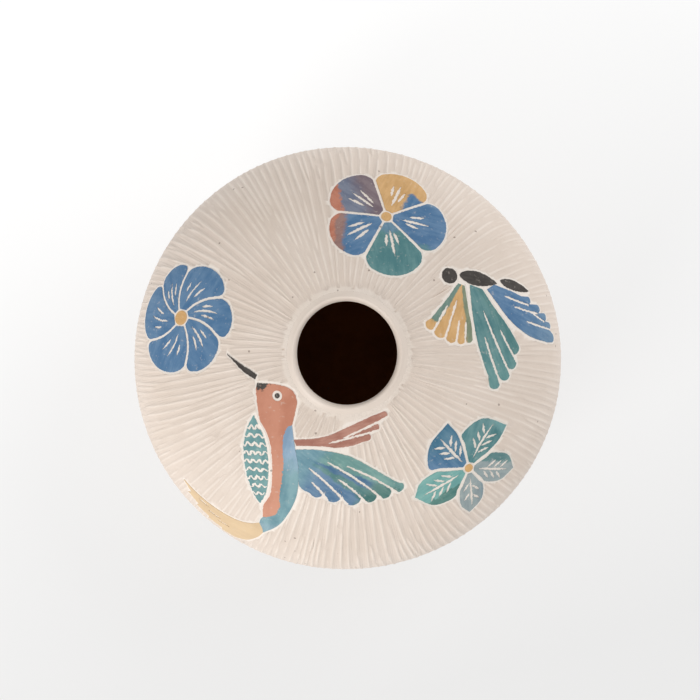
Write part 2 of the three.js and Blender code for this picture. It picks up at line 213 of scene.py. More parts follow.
def curve_of(rise, inset, heights):
    """(radius, height) on the pot's curve that closes `rise` from the belly, `inset` inside it."""
    reach = abs(rise) - inset
    return [
        ((BODY_RADIUS - inset) * math.sqrt(max(0, 1 - ((z - BELLY_HEIGHT) / reach) ** 2)), z)
        for z in heights
    ]


def clay_grain_group():
    """Tone, dark specks and a fine relief, as fired clay shows them."""
    tree = bpy.data.node_groups.new("clay_grain", "ShaderNodeTree")
    group_sockets(
        tree,
        [
            ("Mottle Scale", "NodeSocketFloat", 45.0),
            ("Speck Scale", "NodeSocketFloat", 260.0),
            ("Speck Share", "NodeSocketFloat", 0.16),
            ("Speck Size", "NodeSocketFloat", 0.11),
        ],
        [
            ("Tone", "NodeSocketFloat"),
            ("Specks", "NodeSocketFloat"),
            ("Relief", "NodeSocketFloat"),
            ("Fine", "NodeSocketFloat"),
        ],
    )
    w = Wiring(tree)
    given = w.add("NodeGroupInput").outputs
    place = w.add("ShaderNodeTexCoord").outputs["Object"]
    broad = w.add(
        "ShaderNodeTexNoise", place, named={"Scale": given["Mottle Scale"], "Detail": 4.0, "Roughness": 0.6}
    ).outputs["Fac"]
    fine = w.add("ShaderNodeTexNoise", place, named={"Scale": 900.0, "Detail": 3.0}).outputs["Fac"]
    cells = w.add("ShaderNodeTexVoronoi", place, named={"Scale": given["Speck Scale"]})
    pick = w.add("ShaderNodeSeparateColor", cells.outputs["Color"]).outputs[0]
    chosen = w.math("LESS_THAN", pick, given["Speck Share"])
    size = w.math("MULTIPLY", given["Speck Size"], w.math("ADD", fine, 0.5))
    dot = w.math("LESS_THAN", cells.outputs["Distance"], size)
    w.add(
        "NodeGroupOutput",
        broad,
        w.math("MULTIPLY", dot, chosen),
        w.math("ADD", w.math("MULTIPLY", broad, 0.5), w.math("MULTIPLY", fine, 0.5)),
        fine,
    )
    return tree


clay_grain = clay_grain_group()


def blank_material(name):
    material = bpy.data.materials.new(name)
    material.use_nodes = True
    tree = material.node_tree
    tree.nodes.clear()
    w = Wiring(tree)
    shader = w.add("ShaderNodeBsdfPrincipled")
    w.add("ShaderNodeOutputMaterial", shader.outputs[0])
    return material, w, shader


def relief(w, shader, height, distance, strength=1.0):
    bump = w.add("ShaderNodeBump", named={"Height": height, "Distance": distance, "Strength": strength})
    w.tree.links.new(bump.outputs[0], shader.inputs["Normal"])


def clay_material(name, colour, deep, rough, speck_share, relief_depth):
    material, w, shader = blank_material(name)
    grain = w.add("ShaderNodeGroup", node_tree=clay_grain)
    grain.inputs["Speck Share"].default_value = speck_share
    tone = w.ramp(grain.outputs["Tone"], 0.3, 0.7)
    clay = w.mix(tone, deep, colour)
    clay = w.mix(w.math("MULTIPLY", grain.outputs["Specks"], 0.55), clay, (0.16, 0.10, 0.07))
    w.tree.links.new(clay, shader.inputs["Base Color"])
    matt = w.ramp(grain.outputs["Fine"], 0.3, 0.7, rough - 0.06, rough + 0.08)
    w.tree.links.new(matt, shader.inputs["Roughness"])
    relief(w, shader, grain.outputs["Relief"], relief_depth)
    shader.inputs["Specular IOR Level"].default_value = 0.4
    return material


bare_clay = clay_material("bare_clay", (0.47, 0.27, 0.16), (0.37, 0.20, 0.12), 0.78, 0.25, 0.00015)
raw_inside = clay_material("raw_inside", (0.27, 0.082, 0.012), (0.19, 0.055, 0.008), 0.9, 0.1, 0.0002)
plain_slip = clay_material(
    "plain_cream_slip", (0.80, 0.70, 0.615), (0.75, 0.645, 0.56), 0.55, 0.16, 0.00006
)

foot_inner = FOOT_RADIUS - FOOT_WIDTH
foot_round = 0.0008
foot_profile = [(foot_inner, FOOT_TOP)]
for corner, start in ((foot_inner + foot_round, math.pi), (FOOT_RADIUS - foot_round, 1.5 * math.pi)):
    for step in range(5):
        angle = start + step * math.pi / 8
        foot_profile.append((corner + foot_round * math.cos(angle), foot_round * (1 + math.sin(angle))))
foot_profile += [
    (FOOT_RADIUS + 0.0002, FOOT_TOP * 0.55),
    (FOOT_RADIUS + 0.0012, FOOT_TOP),
    (foot_inner, FOOT_TOP),
]
foot = turned_member("foot_ring_clay", foot_profile, bare_clay)
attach(foot, "root")
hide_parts("foot_ring")

slab_edge = curve_of(-LOWER_DROP, 0, np.linspace(FOOT_TOP, SLAB_TOP, 5))
slab_profile = [(0, FOOT_TOP + 0.0012), (0.02, FOOT_TOP + 0.0009), (foot_inner, FOOT_TOP)]
slab_profile += slab_edge + [(0, SLAB_TOP)]
slab = turned_member("base_slab_clay", slab_profile, bare_clay)
slab.data.materials.append(raw_inside)
for face in slab.data.polygons:
    if face.center.z > SLAB_TOP - 1e-5:
        face.material_index = len(slab.data.materials) - 1
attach(slab, "root")
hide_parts("base_slab")

SEAM_GROOVE = 0.0005
wall_profile = curve_of(-LOWER_DROP, 0, np.linspace(SLAB_TOP, SEAM_HEIGHT - 0.0009, 22))
wall_profile += [
    (wall_profile[-1][0], SEAM_HEIGHT - 0.0006),
    (wall_profile[-1][0] - SEAM_GROOVE, SEAM_HEIGHT),
]
wall_profile += curve_of(-LOWER_DROP, WALL, np.linspace(SEAM_HEIGHT, SLAB_TOP, 18))
lower_wall = turned_member("lower_wall_clay", wall_profile + wall_profile[:1], plain_slip, raw_inside)
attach(lower_wall, "root")
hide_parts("lower_wall")

# ------------------------------------------------------------------ lip coil
# A coil luted inside the shoulder's upper edge, rolled over into the mouth and wiped smooth into the
# shoulder, so it is left plain. Its slip runs out into the bare inside below the roll.
LIP_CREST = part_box("lip_coil")[1].z
LIP_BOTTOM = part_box("lip_coil")[0].z
MOUTH_RADIUS = 0.018
STEP = 0.0005  # between points along a drawn line


def smooth_run(points, spacing=STEP):
    """A smooth line through a few places, as evenly spaced points."""
    knots = np.asarray(points, float)
    ends = np.r_[[2 * knots[0] - knots[1]], knots, [2 * knots[-1] - knots[-2]]]
    t = np.linspace(0, 1, 24, endpoint=False)[:, None]
    pieces = []
    for a, b, c, d in zip(ends, ends[1:], ends[2:], ends[3:]):
        bend = (2 * a - 5 * b + 4 * c - d) * t**2 + (3 * b - a - 3 * c + d) * t**3
        pieces.append(0.5 * (2 * b + (c - a) * t + bend))
    dense = np.concatenate(pieces + [knots[-1:]])
    walked = np.r_[0, np.cumsum(np.hypot(*np.diff(dense, axis=0).T))]
    count = max(2, int(round(walked[-1] / spacing)) + 1)
    places = np.linspace(0, walked[-1], count)
    return np.stack([np.interp(places, walked, dense[:, k]) for k in (0, 1)], axis=-1)


def lip_slip_material():
    material, w, shader = blank_material("lip_slip")
    grain = w.add("ShaderNodeGroup", node_tree=clay_grain)
    grain.inputs["Speck Share"].default_value = 0.1
    place = w.add("ShaderNodeSeparateXYZ", w.add("ShaderNodeTexCoord").outputs["Object"]).outputs
    ragged = w.math("MULTIPLY", w.math("SUBTRACT", grain.outputs["Tone"], 0.5), 0.003)
    height = w.math("ADD", place[2], ragged)
    cream = w.mix(w.ramp(grain.outputs["Tone"], 0.3, 0.7), (0.72, 0.62, 0.54), (0.765, 0.67, 0.59))
    bare = w.mix(w.ramp(height, LIP_CREST - 0.0046, LIP_CREST - 0.0024), (0.20, 0.07, 0.02), cream)
    w.tree.links.new(bare, shader.inputs["Base Color"])
    w.tree.links.new(w.ramp(grain.outputs["Fine"], 0.3, 0.7, 0.46, 0.56), shader.inputs["Roughness"])
    relief(w, shader, grain.outputs["Relief"], 0.00006)
    return material


shoulder_edge = BELLY_HEIGHT + SHOULDER_RISE * math.sqrt(1 - (LIP_JOINT / BODY_RADIUS) ** 2)
lip_width = LIP_JOINT - MOUTH_RADIUS
lip_roll = [
    (LIP_JOINT, shoulder_edge + 0.00004),
    (LIP_JOINT - 0.18 * lip_width, shoulder_edge + 0.00034),
    (LIP_JOINT - 0.36 * lip_width, shoulder_edge + 0.00066),
    (LIP_JOINT - 0.54 * lip_width, LIP_CREST - 0.00010),
    (LIP_JOINT - 0.72 * lip_width, LIP_CREST - 0.00032),
    (LIP_JOINT - 0.90 * lip_width, LIP_CREST - 0.00120),
    (MOUTH_RADIUS, (LIP_CREST + LIP_BOTTOM) / 2),
    (MOUTH_RADIUS + 0.45 * lip_width, LIP_BOTTOM + 0.00010),
    (LIP_JOINT, LIP_BOTTOM),
]
lip_profile = [(LIP_JOINT, LIP_BOTTOM)] + [tuple(p) for p in smooth_run(lip_roll, 0.00035)]
lip = turned_member("lip_coil_clay", lip_profile, lip_slip_material())
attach(lip, "root")
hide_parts("lip_coil")

# ------------------------------------------------------------------ three flowers
# The painter lays coloured slips on the leather-hard shoulder and parts them with scratched lines.
# Every petal is a thin island of slip that follows the shoulder; its veins are scratched right
# through to the cream, with a ragged edge where the dry slip chipped.
SLIP_TOP = 0.00005  # height of the painted face over the shoulder's own curve
SLIP_ROOT = -0.00060  # the islands are keyed this deep into the clay
INCISED_LINE = 0.0009
FLAT_HUB = 0.020  # the unrolled shoulder is a ring round a hole of this radius
rng = np.random.default_rng(1207)

parts = np.linspace(math.acos(LIP_JOINT / BODY_RADIUS), 0, 800)
skin_r = BODY_RADIUS * np.cos(parts)
skin_z = BELLY_HEIGHT + SHOULDER_RISE * np.sin(parts)
below = np.linspace(BELLY_HEIGHT, SEAM_HEIGHT, 160)[1:]
skin_r = np.r_[skin_r, [r for r, z in curve_of(-LOWER_DROP, 0, below)]]
skin_z = np.r_[skin_z, below]
skin_down = np.r_[0, np.cumsum(np.hypot(np.diff(skin_r), np.diff(skin_z)))]
slope_r, slope_z = np.gradient(skin_r, skin_down), np.gradient(skin_z, skin_down)
BAND = float(skin_down[799])  # from the lip's joint down to the belly
SKIRT = float(skin_down[-1])  # and on to the seam


def on_skin(turn, down, lift):
    """Points on the shoulder: `turn` round the pot, `down` along its curve, `lift` off its face."""
    r = np.interp(down, skin_down, skin_r)
    z = np.interp(down, skin_down, skin_z)
    out = -np.interp(down, skin_down, slope_z)
    up = np.interp(down, skin_down, slope_r)
    r = r + (r * OVAL_GROWTH - OVAL_START) * np.cos(2 * turn)
    r = r + LOBES / BODY_RADIUS * r * np.cos(3 * turn + LOBE_TURN)
    r = r + out * lift
    return np.stack([r * np.cos(turn), r * np.sin(turn), z + up * lift], axis=-1)


def flat(turn, down):
    reach = np.asarray(down) + FLAT_HUB
    return np.stack([reach * np.cos(turn), reach * np.sin(turn)], axis=-1)


def unflat(points):
    turn = np.arctan2(points[..., 1], points[..., 0])
    return turn, np.hypot(points[..., 0], points[..., 1]) - FLAT_HUB


def at(degrees, share):
    """A place on the painted band: degrees round from +X, and percent of the way down to the belly."""
    return flat(math.radians(degrees), share / 100 * BAND)


def outline(*runs):
    """A closed edge of smooth runs that meet at corners; each run is a list of (degrees, percent)."""
    return np.concatenate([smooth_run([at(*p) for p in run])[:-1] for run in runs])


def ragged(edge, amount):
    """Roughens a line as a dry brush or a scratch leaves it."""
    return edge + rng.normal(0, amount, edge.shape)


def scratch(points, width, chip=0.00007, open_end=False):
    """The outline of a line scratched through the slip: it starts in a point, and ends in one unless
    it runs out over the island's edge."""
    line = smooth_run(points)
    ahead = np.gradient(line, axis=0)
    side = np.stack([-ahead[:, 1], ahead[:, 0]], axis=-1) / np.hypot(*ahead.T)[:, None]
    t = np.linspace(0, 1, len(line))
    narrow = 4 * t + 0.3 if open_end else np.minimum(4 * t, 3 * (1 - t))
    half = 0.5 * width * np.clip(narrow, 0.12, 1) ** 0.6
    left = line + side * (half * rng.uniform(0.75, 1.35, len(line)))[:, None]
    right = line - side * (half * rng.uniform(0.75, 1.35, len(line)))[:, None]
    return ragged(np.concatenate([left, right[::-1]]), chip)


def inside(points, loop):
    """Which points lie inside a closed loop."""
    x, y = points[:, 0][:, None], points[:, 1][:, None]
    x0, y0 = loop[:, 0][None], loop[:, 1][None]
    x1, y1 = np.roll(loop[:, 0], -1)[None], np.roll(loop[:, 1], -1)[None]
    spans = (y0 > y) != (y1 > y)
    rise = np.where(y1 == y0, 1.0, y1 - y0)
    crossing = x0 + (y - y0) / rise * (x1 - x0)
    return (spans & (x < crossing)).sum(1) % 2 == 1


def inside_any(points, loops):
    found = np.zeros(len(points), bool)
    for loop in loops:
        near = np.all((points >= loop.min(0)) & (points <= loop.max(0)), axis=1)
        found[near] |= inside(points[near], loop)
    return found


def triangulated(loops, loose):
    """Vertices and triangles of the plane with the loops as edges; loose points are added."""
    points = np.concatenate(loops + [loose])
    edges, first = [], 0
    for loop in loops:
        count = len(loop)
        edges += [(first + i, first + (i + 1) % count) for i in range(count)]
        first += count
    result = delaunay_2d_cdt([Vector(p) for p in points], edges, [], 0, 1e-7)
    return np.array([tuple(v) for v in result[0]]), np.array(result[2]), result[3]


painted = []  # (outlines, scratches) of every island, which the carver works round
SLIP_MESH = 0.0012  # between points under a painted face


def slip_island(name, node, material, outlines, scratches, origin, target):
    """One island of coloured slip. `origin` and `target` lay out its brushwork coordinates."""
    painted.append((outlines, scratches))
    loops = outlines + scratches
    low = np.min([loop.min(0) for loop in outlines], axis=0)
    high = np.max([loop.max(0) for loop in outlines], axis=0)
    gx, gy = np.meshgrid(*[np.arange(low[k], high[k], SLIP_MESH) for k in (0, 1)])
    gx = gx + SLIP_MESH / 2 * (np.arange(gx.shape[0]) % 2)[:, None]
    grid = np.stack([gx.ravel(), gy.ravel()], axis=-1)
    grid = grid[inside_any(grid, outlines) & ~inside_any(grid, scratches)]
    points, faces, _ = triangulated(loops, grid)
    middles = points[faces].mean(1)
    faces = faces[inside_any(middles, outlines) & ~inside_any(middles, scratches)]
    used, faces = np.unique(faces, return_inverse=True)
    points, faces = points[used], faces.reshape(-1, 3)
    turn, down = unflat(points)
    top = on_skin(turn, down, SLIP_TOP)
    bottom = on_skin(turn, down, SLIP_ROOT)
    count = len(points)
    sides = {}
    for a, b, c in faces:
        for edge in ((a, b), (b, c), (c, a)):
            sides[edge] = sides.get(edge, 0) + 1
    rim = [edge for edge in sides if (edge[1], edge[0]) not in sides]
    polygons = [tuple(f) for f in faces] + [tuple(int(i) + count for i in f[::-1]) for f in faces]
    polygons += [(b, a, a + count, b + count) for a, b in rim]
    mesh = bpy.data.meshes.new(name)
    mesh.from_pydata(np.concatenate([top, bottom]).tolist(), [], [tuple(map(int, p)) for p in polygons])
    mesh.shade_smooth()
    sharp = {tuple(sorted((int(a), int(b)))) for a, b in rim}
    sharp |= {tuple(sorted((int(a) + count, int(b) + count))) for a, b in rim}
    marks = mesh.attributes.new("sharp_edge", "BOOLEAN", "EDGE")
    marks.data.foreach_set("value", [tuple(sorted(e.vertices)) in sharp for e in mesh.edges])
    heading = np.asarray(target) - np.asarray(origin)
    length = np.hypot(*heading)
    heading = heading / length
    rel = (points - origin) / length
    for key, values in (
        ("along", rel @ heading),
        ("across", rel @ np.array([-heading[1], heading[0]])),
        ("reach", np.hypot(*rel.T)),
        ("fan", np.arctan2(rel @ np.array([-heading[1], heading[0]]), rel @ heading)),
    ):
        layer = mesh.attributes.new(key, "FLOAT", "POINT")
        layer.data.foreach_set("value", np.r_[values, values].astype(np.float32))
    island = bpy.data.objects.new(name, mesh)
    bpy.context.scene.collection.objects.link(island)
    mesh.materials.append(material)
    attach(island, "root")
    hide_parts(node)
    return island


def brushwork_group():
    """Streaks, thin places and relief of slip laid with a brush, from the island's own layout."""
    tree = bpy.data.node_groups.new("brushwork", "ShaderNodeTree")
    group_sockets(
        tree,
        [("Streak Scale", "NodeSocketFloat", 9.0), ("Seed", "NodeSocketFloat", 0.0)],
        [
            ("Streaks", "NodeSocketFloat"),
            ("Mottle", "NodeSocketFloat"),
            ("Thin", "NodeSocketFloat"),
            ("Rag", "NodeSocketFloat"),
        ],
    )
    w = Wiring(tree)
    given = w.add("NodeGroupInput").outputs
    along, across = (
        w.add("ShaderNodeAttribute", attribute_name=key).outputs["Fac"] for key in ("along", "across")
    )
    lane = w.add("ShaderNodeCombineXYZ", w.math("MULTIPLY", along, 0.22), across, given["Seed"]).outputs[0]
    streaks = w.add(
        "ShaderNodeTexNoise", lane, named={"Scale": given["Streak Scale"], "Detail": 5.0, "Roughness": 0.65}
    ).outputs["Fac"]
    place = w.add("ShaderNodeTexCoord").outputs["Object"]
    mottle = w.add("ShaderNodeTexNoise", place, named={"Scale": 130.0, "Detail": 4.0, "Roughness": 0.6})
    fine = w.add("ShaderNodeTexNoise", place, named={"Scale": 700.0, "Detail": 3.0, "Roughness": 0.6})
    thin = w.ramp(fine.outputs["Fac"], 0.60, 0.74)
    rag = w.add("ShaderNodeTexNoise", place, named={"Scale": 300.0, "Detail": 3.0, "Roughness": 0.7})
    w.add("NodeGroupOutput", streaks, mottle.outputs["Fac"], thin, rag.outputs["Fac"])
    return tree


brushwork = brushwork_group()


def paint(name, colour, spread=0.16, rough=0.62, edges=(), seed=0.0, streak_scale=9.0):
    """A coloured slip. `edges` are (direction, from, to, colour): where the island's layout value in
    that direction (degrees from its heading, "reach" or "fan") goes from one to the other, the slip turns
    to that colour, with a ragged border."""
    material, w, shader = blank_material(name)
    brush = w.add("ShaderNodeGroup", node_tree=brushwork)
    brush.inputs["Seed"].default_value = seed
    brush.inputs["Streak Scale"].default_value = streak_scale
    rag = w.math("MULTIPLY", w.math("SUBTRACT", brush.outputs["Rag"], 0.5), 0.22)
    layout = {
        key: w.add("ShaderNodeAttribute", attribute_name=key).outputs["Fac"]
        for key in ("along", "across", "reach", "fan")
    }
    slip = w.mix(0.0, colour, colour)
    for direction, start, end, other in edges:
        value = layout.get(direction)
        if value is None:
            ahead = w.math("MULTIPLY", layout["along"], math.cos(math.radians(direction)))
            aside = w.math("MULTIPLY", layout["across"], math.sin(math.radians(direction)))
            value = w.math("ADD", ahead, aside)
        slip = w.mix(w.ramp(w.math("ADD", value, rag), start, end), slip, other)
    dark = w.mix(1.0, slip, (1 - spread, 1 - spread, 1 - spread * 0.8), "MULTIPLY")
    light = w.mix(spread * 0.45, slip, (0.80, 0.78, 0.74))
    streaks = w.math("MULTIPLY", brush.outputs["Streaks"], 0.6)
    tone = w.math("ADD", streaks, w.math("MULTIPLY", brush.outputs["Mottle"], 0.4))
    slip = w.mix(w.ramp(tone, 0.38, 0.62), dark, light)
    slip = w.mix(w.math("MULTIPLY", brush.outputs["Thin"], 0.30), slip, (0.74, 0.66, 0.58))
    w.tree.links.new(slip, shader.inputs["Base Color"])
    matt = w.ramp(brush.outputs["Streaks"], 0.3, 0.7, rough - 0.07, rough + 0.07)
    w.tree.links.new(matt, shader.inputs["Roughness"])
    shader.inputs["Specular IOR Level"].default_value = 0.3
    relief(w, shader, w.math("ADD", brush.outputs["Streaks"], brush.outputs["Mottle"]), 0.00005)
    return material


BLUE = (0.074, 0.192, 0.355)
SLATE = (0.13, 0.25, 0.38)
TEAL = (0.078, 0.232, 0.24)
PALE_TEAL = (0.19, 0.39, 0.385)
GREY_TEAL = (0.30, 0.37, 0.375)
OCHRE = (0.69, 0.405, 0.155)
RUST = (0.53, 0.185, 0.105)
PLUM = (0.20, 0.145, 0.165)


def petal_places(centre, reach, direction):
    """The place `reach` (in metres) from a flower's eye, in a direction anticlockwise from outwards."""
    middle = at(*centre)
    outwards = math.atan2(middle[1], middle[0])
    angle = outwards + math.radians(direction)
    return middle + reach * np.array([math.cos(angle), math.sin(angle)])


def petal_side(centre, eye, direction, far, inset, swirl=0.0, length=1.0):
    """Places along a petal's side, from the eye out to `far`, `inset` away from its scratched line."""
    inner = eye + INCISED_LINE
    places = []
    for t in (0, 0.3, 0.65, 1):
        reach = inner + t * (far - inner)
        aside = math.degrees((inset + math.copysign(0.00015, inset) * t) / reach)
        places.append(petal_places(centre, reach, direction + aside + swirl * reach / length))
    return places


def fan_petal(centre, eye, start, end, length, swirl, flank):
    """A round petal that fills the directions from `start` to `end`, less half a scratched line."""
    half, side = INCISED_LINE / 2, flank * length
    rim = []
    for t in np.linspace(0, 1, 9)[1:-1]:
        reach = side + (length - side) * math.sin(math.pi * t) ** 0.56
        rim.append(petal_places(centre, reach, start + t * (end - start) + swirl * reach / length))
    out = petal_side(centre, eye, start, side, half, swirl, length)
    back = petal_side(centre, eye, end, side, -half, swirl, length)[::-1]
    crown = smooth_run([out[-2], out[-1], *rim, back[0], back[1]])
    near = [int(np.argmin(np.hypot(*(crown - place).T))) for place in (out[-1], back[0])]
    crown = crown[near[0] : near[1] + 1]
    runs = (smooth_run(out), crown, smooth_run(back), smooth_run([back[-1], out[0]]))
    return np.concatenate([run[:-1] for run in runs])


def petal_veins(centre, direction, swirl, length, near, far, lanes, width):
    """Scratches that run out along a petal; `lanes` are (degrees aside, start, end) shares."""
    veins = []
    for aside, start, end in lanes:
        run = []
        for t in np.linspace(start, end, 4):
            reach = near + t * (far - near)
            run.append(petal_places(centre, reach, direction + aside + swirl * reach / length))
        veins.append(scratch(run, width))
    return veins


def disc(centre, radius, count=28):
    return np.array([petal_places(centre, radius, 360 * i / count) for i in range(count)])


VEINS_END = 0.0205  # from a flower's eye, where a full-length vein would end
EDGE_CHIP = 0.00005  # how far a painted edge strays
eye_slip = paint("eye_ochre_slip", OCHRE, spread=0.14, seed=3.0)

pinwheel = dict(centre=(167.5, 53), eye=0.0027, length=0.0216, swirl=-34, flank=0.82)
pinwheel_lines = (-10, 66, 139, 195, 242, 306, 350)
for i, (start, end) in enumerate(zip(pinwheel_lines, pinwheel_lines[1:])):
    middle, spread = (start + end) / 2, (end - start) / 60
    lanes = [(-12 * spread, 0.28, 0.62), (1, 0.10, 0.70), (13 * spread, 0.34, 0.60)]
    slip_island(
        f"pinwheel_petal_slip_{i + 1}",
        f"pinwheel_petal_{i + 1}",
        paint(f"pinwheel_blue_{i + 1}", BLUE, edges=[("reach", 0.7, 1.6, SLATE)], seed=i * 1.7),
        [ragged(fan_petal(start=start, end=end, **pinwheel), EDGE_CHIP)],
        petal_veins(
            pinwheel["centre"], middle, pinwheel["swirl"], pinwheel["length"],
            0.0045, VEINS_END, lanes, 0.00085,
        ),
        at(*pinwheel["centre"]),
        petal_places(pinwheel["centre"], pinwheel["length"], middle + pinwheel["swirl"] * 0.7),
    )
slip_island(
    "pinwheel_eye_slip", "pinwheel_eye", eye_slip,
    [disc(pinwheel["centre"], pinwheel["eye"])], [],
    at(*pinwheel["centre"]), petal_places(pinwheel["centre"], 0.004, 0),
)

PANSY = (74, 38.5)
PANSY_EYE = 0.0019
pansy_petals = {
    "upper": (
        -48, 29, 0.0219, "ochre_slip", OCHRE,
        [(90, -0.13, -0.19, BLUE), ("reach", 0.66, 0.72, OCHRE)],
        [(-9, 0.26, 0.58), (2, 0.10, 0.72), (12, 0.36, 0.66)],
    ),
    "upper_left": (
        29, 101, 0.0229, "plum_slip", PLUM,
        [(60, 0.10, 0.40, (0.16, 0.19, 0.27)), (52, 0.61, 0.67, RUST), (90, 0.37, 0.43, RUST)],
        [(-10, 0.20, 0.66), (1, 0.15, 0.74), (12, 0.32, 0.72)],
    ),
    "left": (
        101, 169, 0.0217, "blue_slip", BLUE,
        [(-35, 0.62, 0.70, (0.30, 0.165, 0.14)), (-35, 0.78, 0.84, RUST), (-90, 0.36, 0.42, RUST)],
        [(-10, 0.28, 0.66), (1, 0.15, 0.76), (12, 0.30, 0.68)],
    ),
    "lower": (
        169, 239, 0.0232, "teal_slip", TEAL, [("reach", 0.34, 0.20, (0.11, 0.24, 0.35))],
        [(-10, 0.22, 0.50), (1, 0.12, 0.74), (12, 0.20, 0.50)],
    ),
    "right": (
        239, 312, 0.0226, "blue_slip", BLUE, [(100, 0.24, 0.34, SLATE), (-90, 0.34, 0.44, TEAL)],
        [(-10, 0.22, 0.52), (0, 0.12, 0.72), (12, 0.30, 0.62)],
    ),
}
for key, (start, end, length, slot, colour, edges, lanes) in pansy_petals.items():
    middle = (start + end) / 2
    slip_island(
        f"pansy_petal_{key}_slip",
        f"pansy_petal_{key}",
        paint(f"pansy_{key}_slip", colour, spread=0.17, edges=edges, seed=start * 0.1),
        [ragged(fan_petal(PANSY, PANSY_EYE, start, end, length, 0, 0.77), EDGE_CHIP)],
        petal_veins(PANSY, middle, 0, length, 0.0036, VEINS_END, lanes, 0.00105),
        at(*PANSY),
        petal_places(PANSY, length, middle),
    )
slip_island(
    "pansy_eye_slip", "pansy_eye", eye_slip,
    [disc(PANSY, PANSY_EYE)], [], at(*PANSY), petal_places(PANSY, 0.004, 0),
)


def leaf_petal(centre, eye, start, end, tip, length, flanks, bellies):
    """A leaf-shaped petal: two straight sides from the eye, then two full curves to a point."""
    runs = []
    for direction, inset, flank, belly in zip((start, end), (0.0005, -0.0005), flanks, bellies):
        places = petal_side(centre, eye, direction, flank * length, inset)
        places.append(petal_places(centre, belly * length, 0.5 * (direction + tip)))
        runs.append(smooth_run(places + [petal_places(centre, length, tip)]))
    out, back = runs[0], runs[1][::-1]
    return np.concatenate([out[:-1], back[:-1], smooth_run([back[-1], out[0]])[:-1]])


def leaf_veins(centre, direction, bend, length, width, pairs):
    """A midrib and pairs of short side veins, scratched through the petal."""

    def place(reach, across):
        turn = direction + bend * reach / length + math.degrees(math.atan2(across, reach))
        return petal_places(centre, math.hypot(reach, across), turn)

    veins = [scratch([place(t * length, 0) for t in (0.20, 0.42, 0.64, 0.84)], 0.0010)]
    for i in range(pairs):
        t = 0.34 + 0.42 * i / pairs
        for sign in (-1, 1):
            shift = t + 0.03 * sign
            run = [(shift, 0.06), (shift + 0.08, 0.17), (shift + 0.15, 0.28)]
            veins.append(scratch([place(a * length, sign * b * width) for a, b in run], 0.00095))
    return veins


LEAF_FLOWER = (317, 50.5)
LEAF_EYE = 0.0016
leaf_petals = {
    "upper_left": (
        152, 222, 162, 0.0200, (0.50, 0.78), (0.75, 0.92), "blue_slip", BLUE,
        [(-60, -0.2, 0.40, (0.055, 0.185, 0.285))], (182, -4), 0.014, 3,
    ),
    "upper_right": (
        79, 151, 91, 0.0213, (0.45, 0.66), (0.72, 0.90), "teal_slip", TEAL,
        [(60, 0.10, 0.30, (0.11, 0.27, 0.28)), (-40, 0.74, 0.86, PALE_TEAL)], (118, -14), 0.014, 3,
    ),
    "right": (
        2, 75, 36, 0.0213, (0.50, 0.52), (0.79, 0.81), "grey_teal_slip", GREY_TEAL,
        [(90, 0.13, 0.17, (0.11, 0.25, 0.25))], (35, 0), 0.014, 3,
    ),
    "lower": (
        297, 359, 324, 0.0208, (0.50, 0.52), (0.78, 0.80), "grey_teal_slip", GREY_TEAL,
        [(90, 0.14, 0.22, (0.24, 0.33, 0.36))], (327, 0), 0.012, 2,
    ),
    "left": (
        224, 294, 251, 0.0226, (0.58, 0.58), (0.84, 0.84), "pale_teal_slip", (0.165, 0.41, 0.38),
        [(90, 0.12, 0.15, (0.055, 0.20, 0.175))], (257, -4), 0.014, 3,
    ),
}
for key, (start, end, tip, length, flanks, bellies, *finish) in leaf_petals.items():
    slot, colour, edges, rib, width, pairs = finish
    petal = leaf_petal(LEAF_FLOWER, LEAF_EYE, start, end, tip, length, flanks, bellies)
    slip_island(
        f"leaf_petal_{key}_slip",
        f"leaf_petal_{key}",
        paint(f"leaf_{key}_slip", colour, spread=0.18, edges=edges, seed=tip * 0.1),
        [ragged(petal, EDGE_CHIP)],
        leaf_veins(LEAF_FLOWER, *rib, length, width, pairs),
        at(*LEAF_FLOWER),
        petal_places(LEAF_FLOWER, length, rib[0]),
    )
slip_island(
    "leaf_flower_eye_slip", "leaf_flower_eye", eye_slip,
    [disc(LEAF_FLOWER, LEAF_EYE)], [], at(*LEAF_FLOWER), petal_places(LEAF_FLOWER, 0.004, 0),
)

# ------------------------------------------------------------------ winged insect
# Painted in the same way: a black-brown body in three beads, and three wings. Each wing is brushed on
# as one sheet with round-ended feathers, which are then parted by long scratches between them.
BLACK = (0.046, 0.038, 0.033)
MOSS = (0.22, 0.27, 0.17)
WING_STREAKS = 14.0  # brush streaks across a wing


def bead(first, last, width, lean):
    """A slender bead of slip from one place to another, fullest nearer its first end."""
    start, end = at(*first), at(*last)
    axis = (end - start) / np.hypot(*(end - start))
    normal = np.array([-axis[1], axis[0]])
    t = np.linspace(0, 1, 30)
    half = 0.5 * width * np.sin(np.pi * t**lean) ** 0.75
    middle = start + (end - start) * t[:, None]
    return np.concatenate([middle + normal * half[:, None], (middle - normal * half[:, None])[::-1][1:-1]])


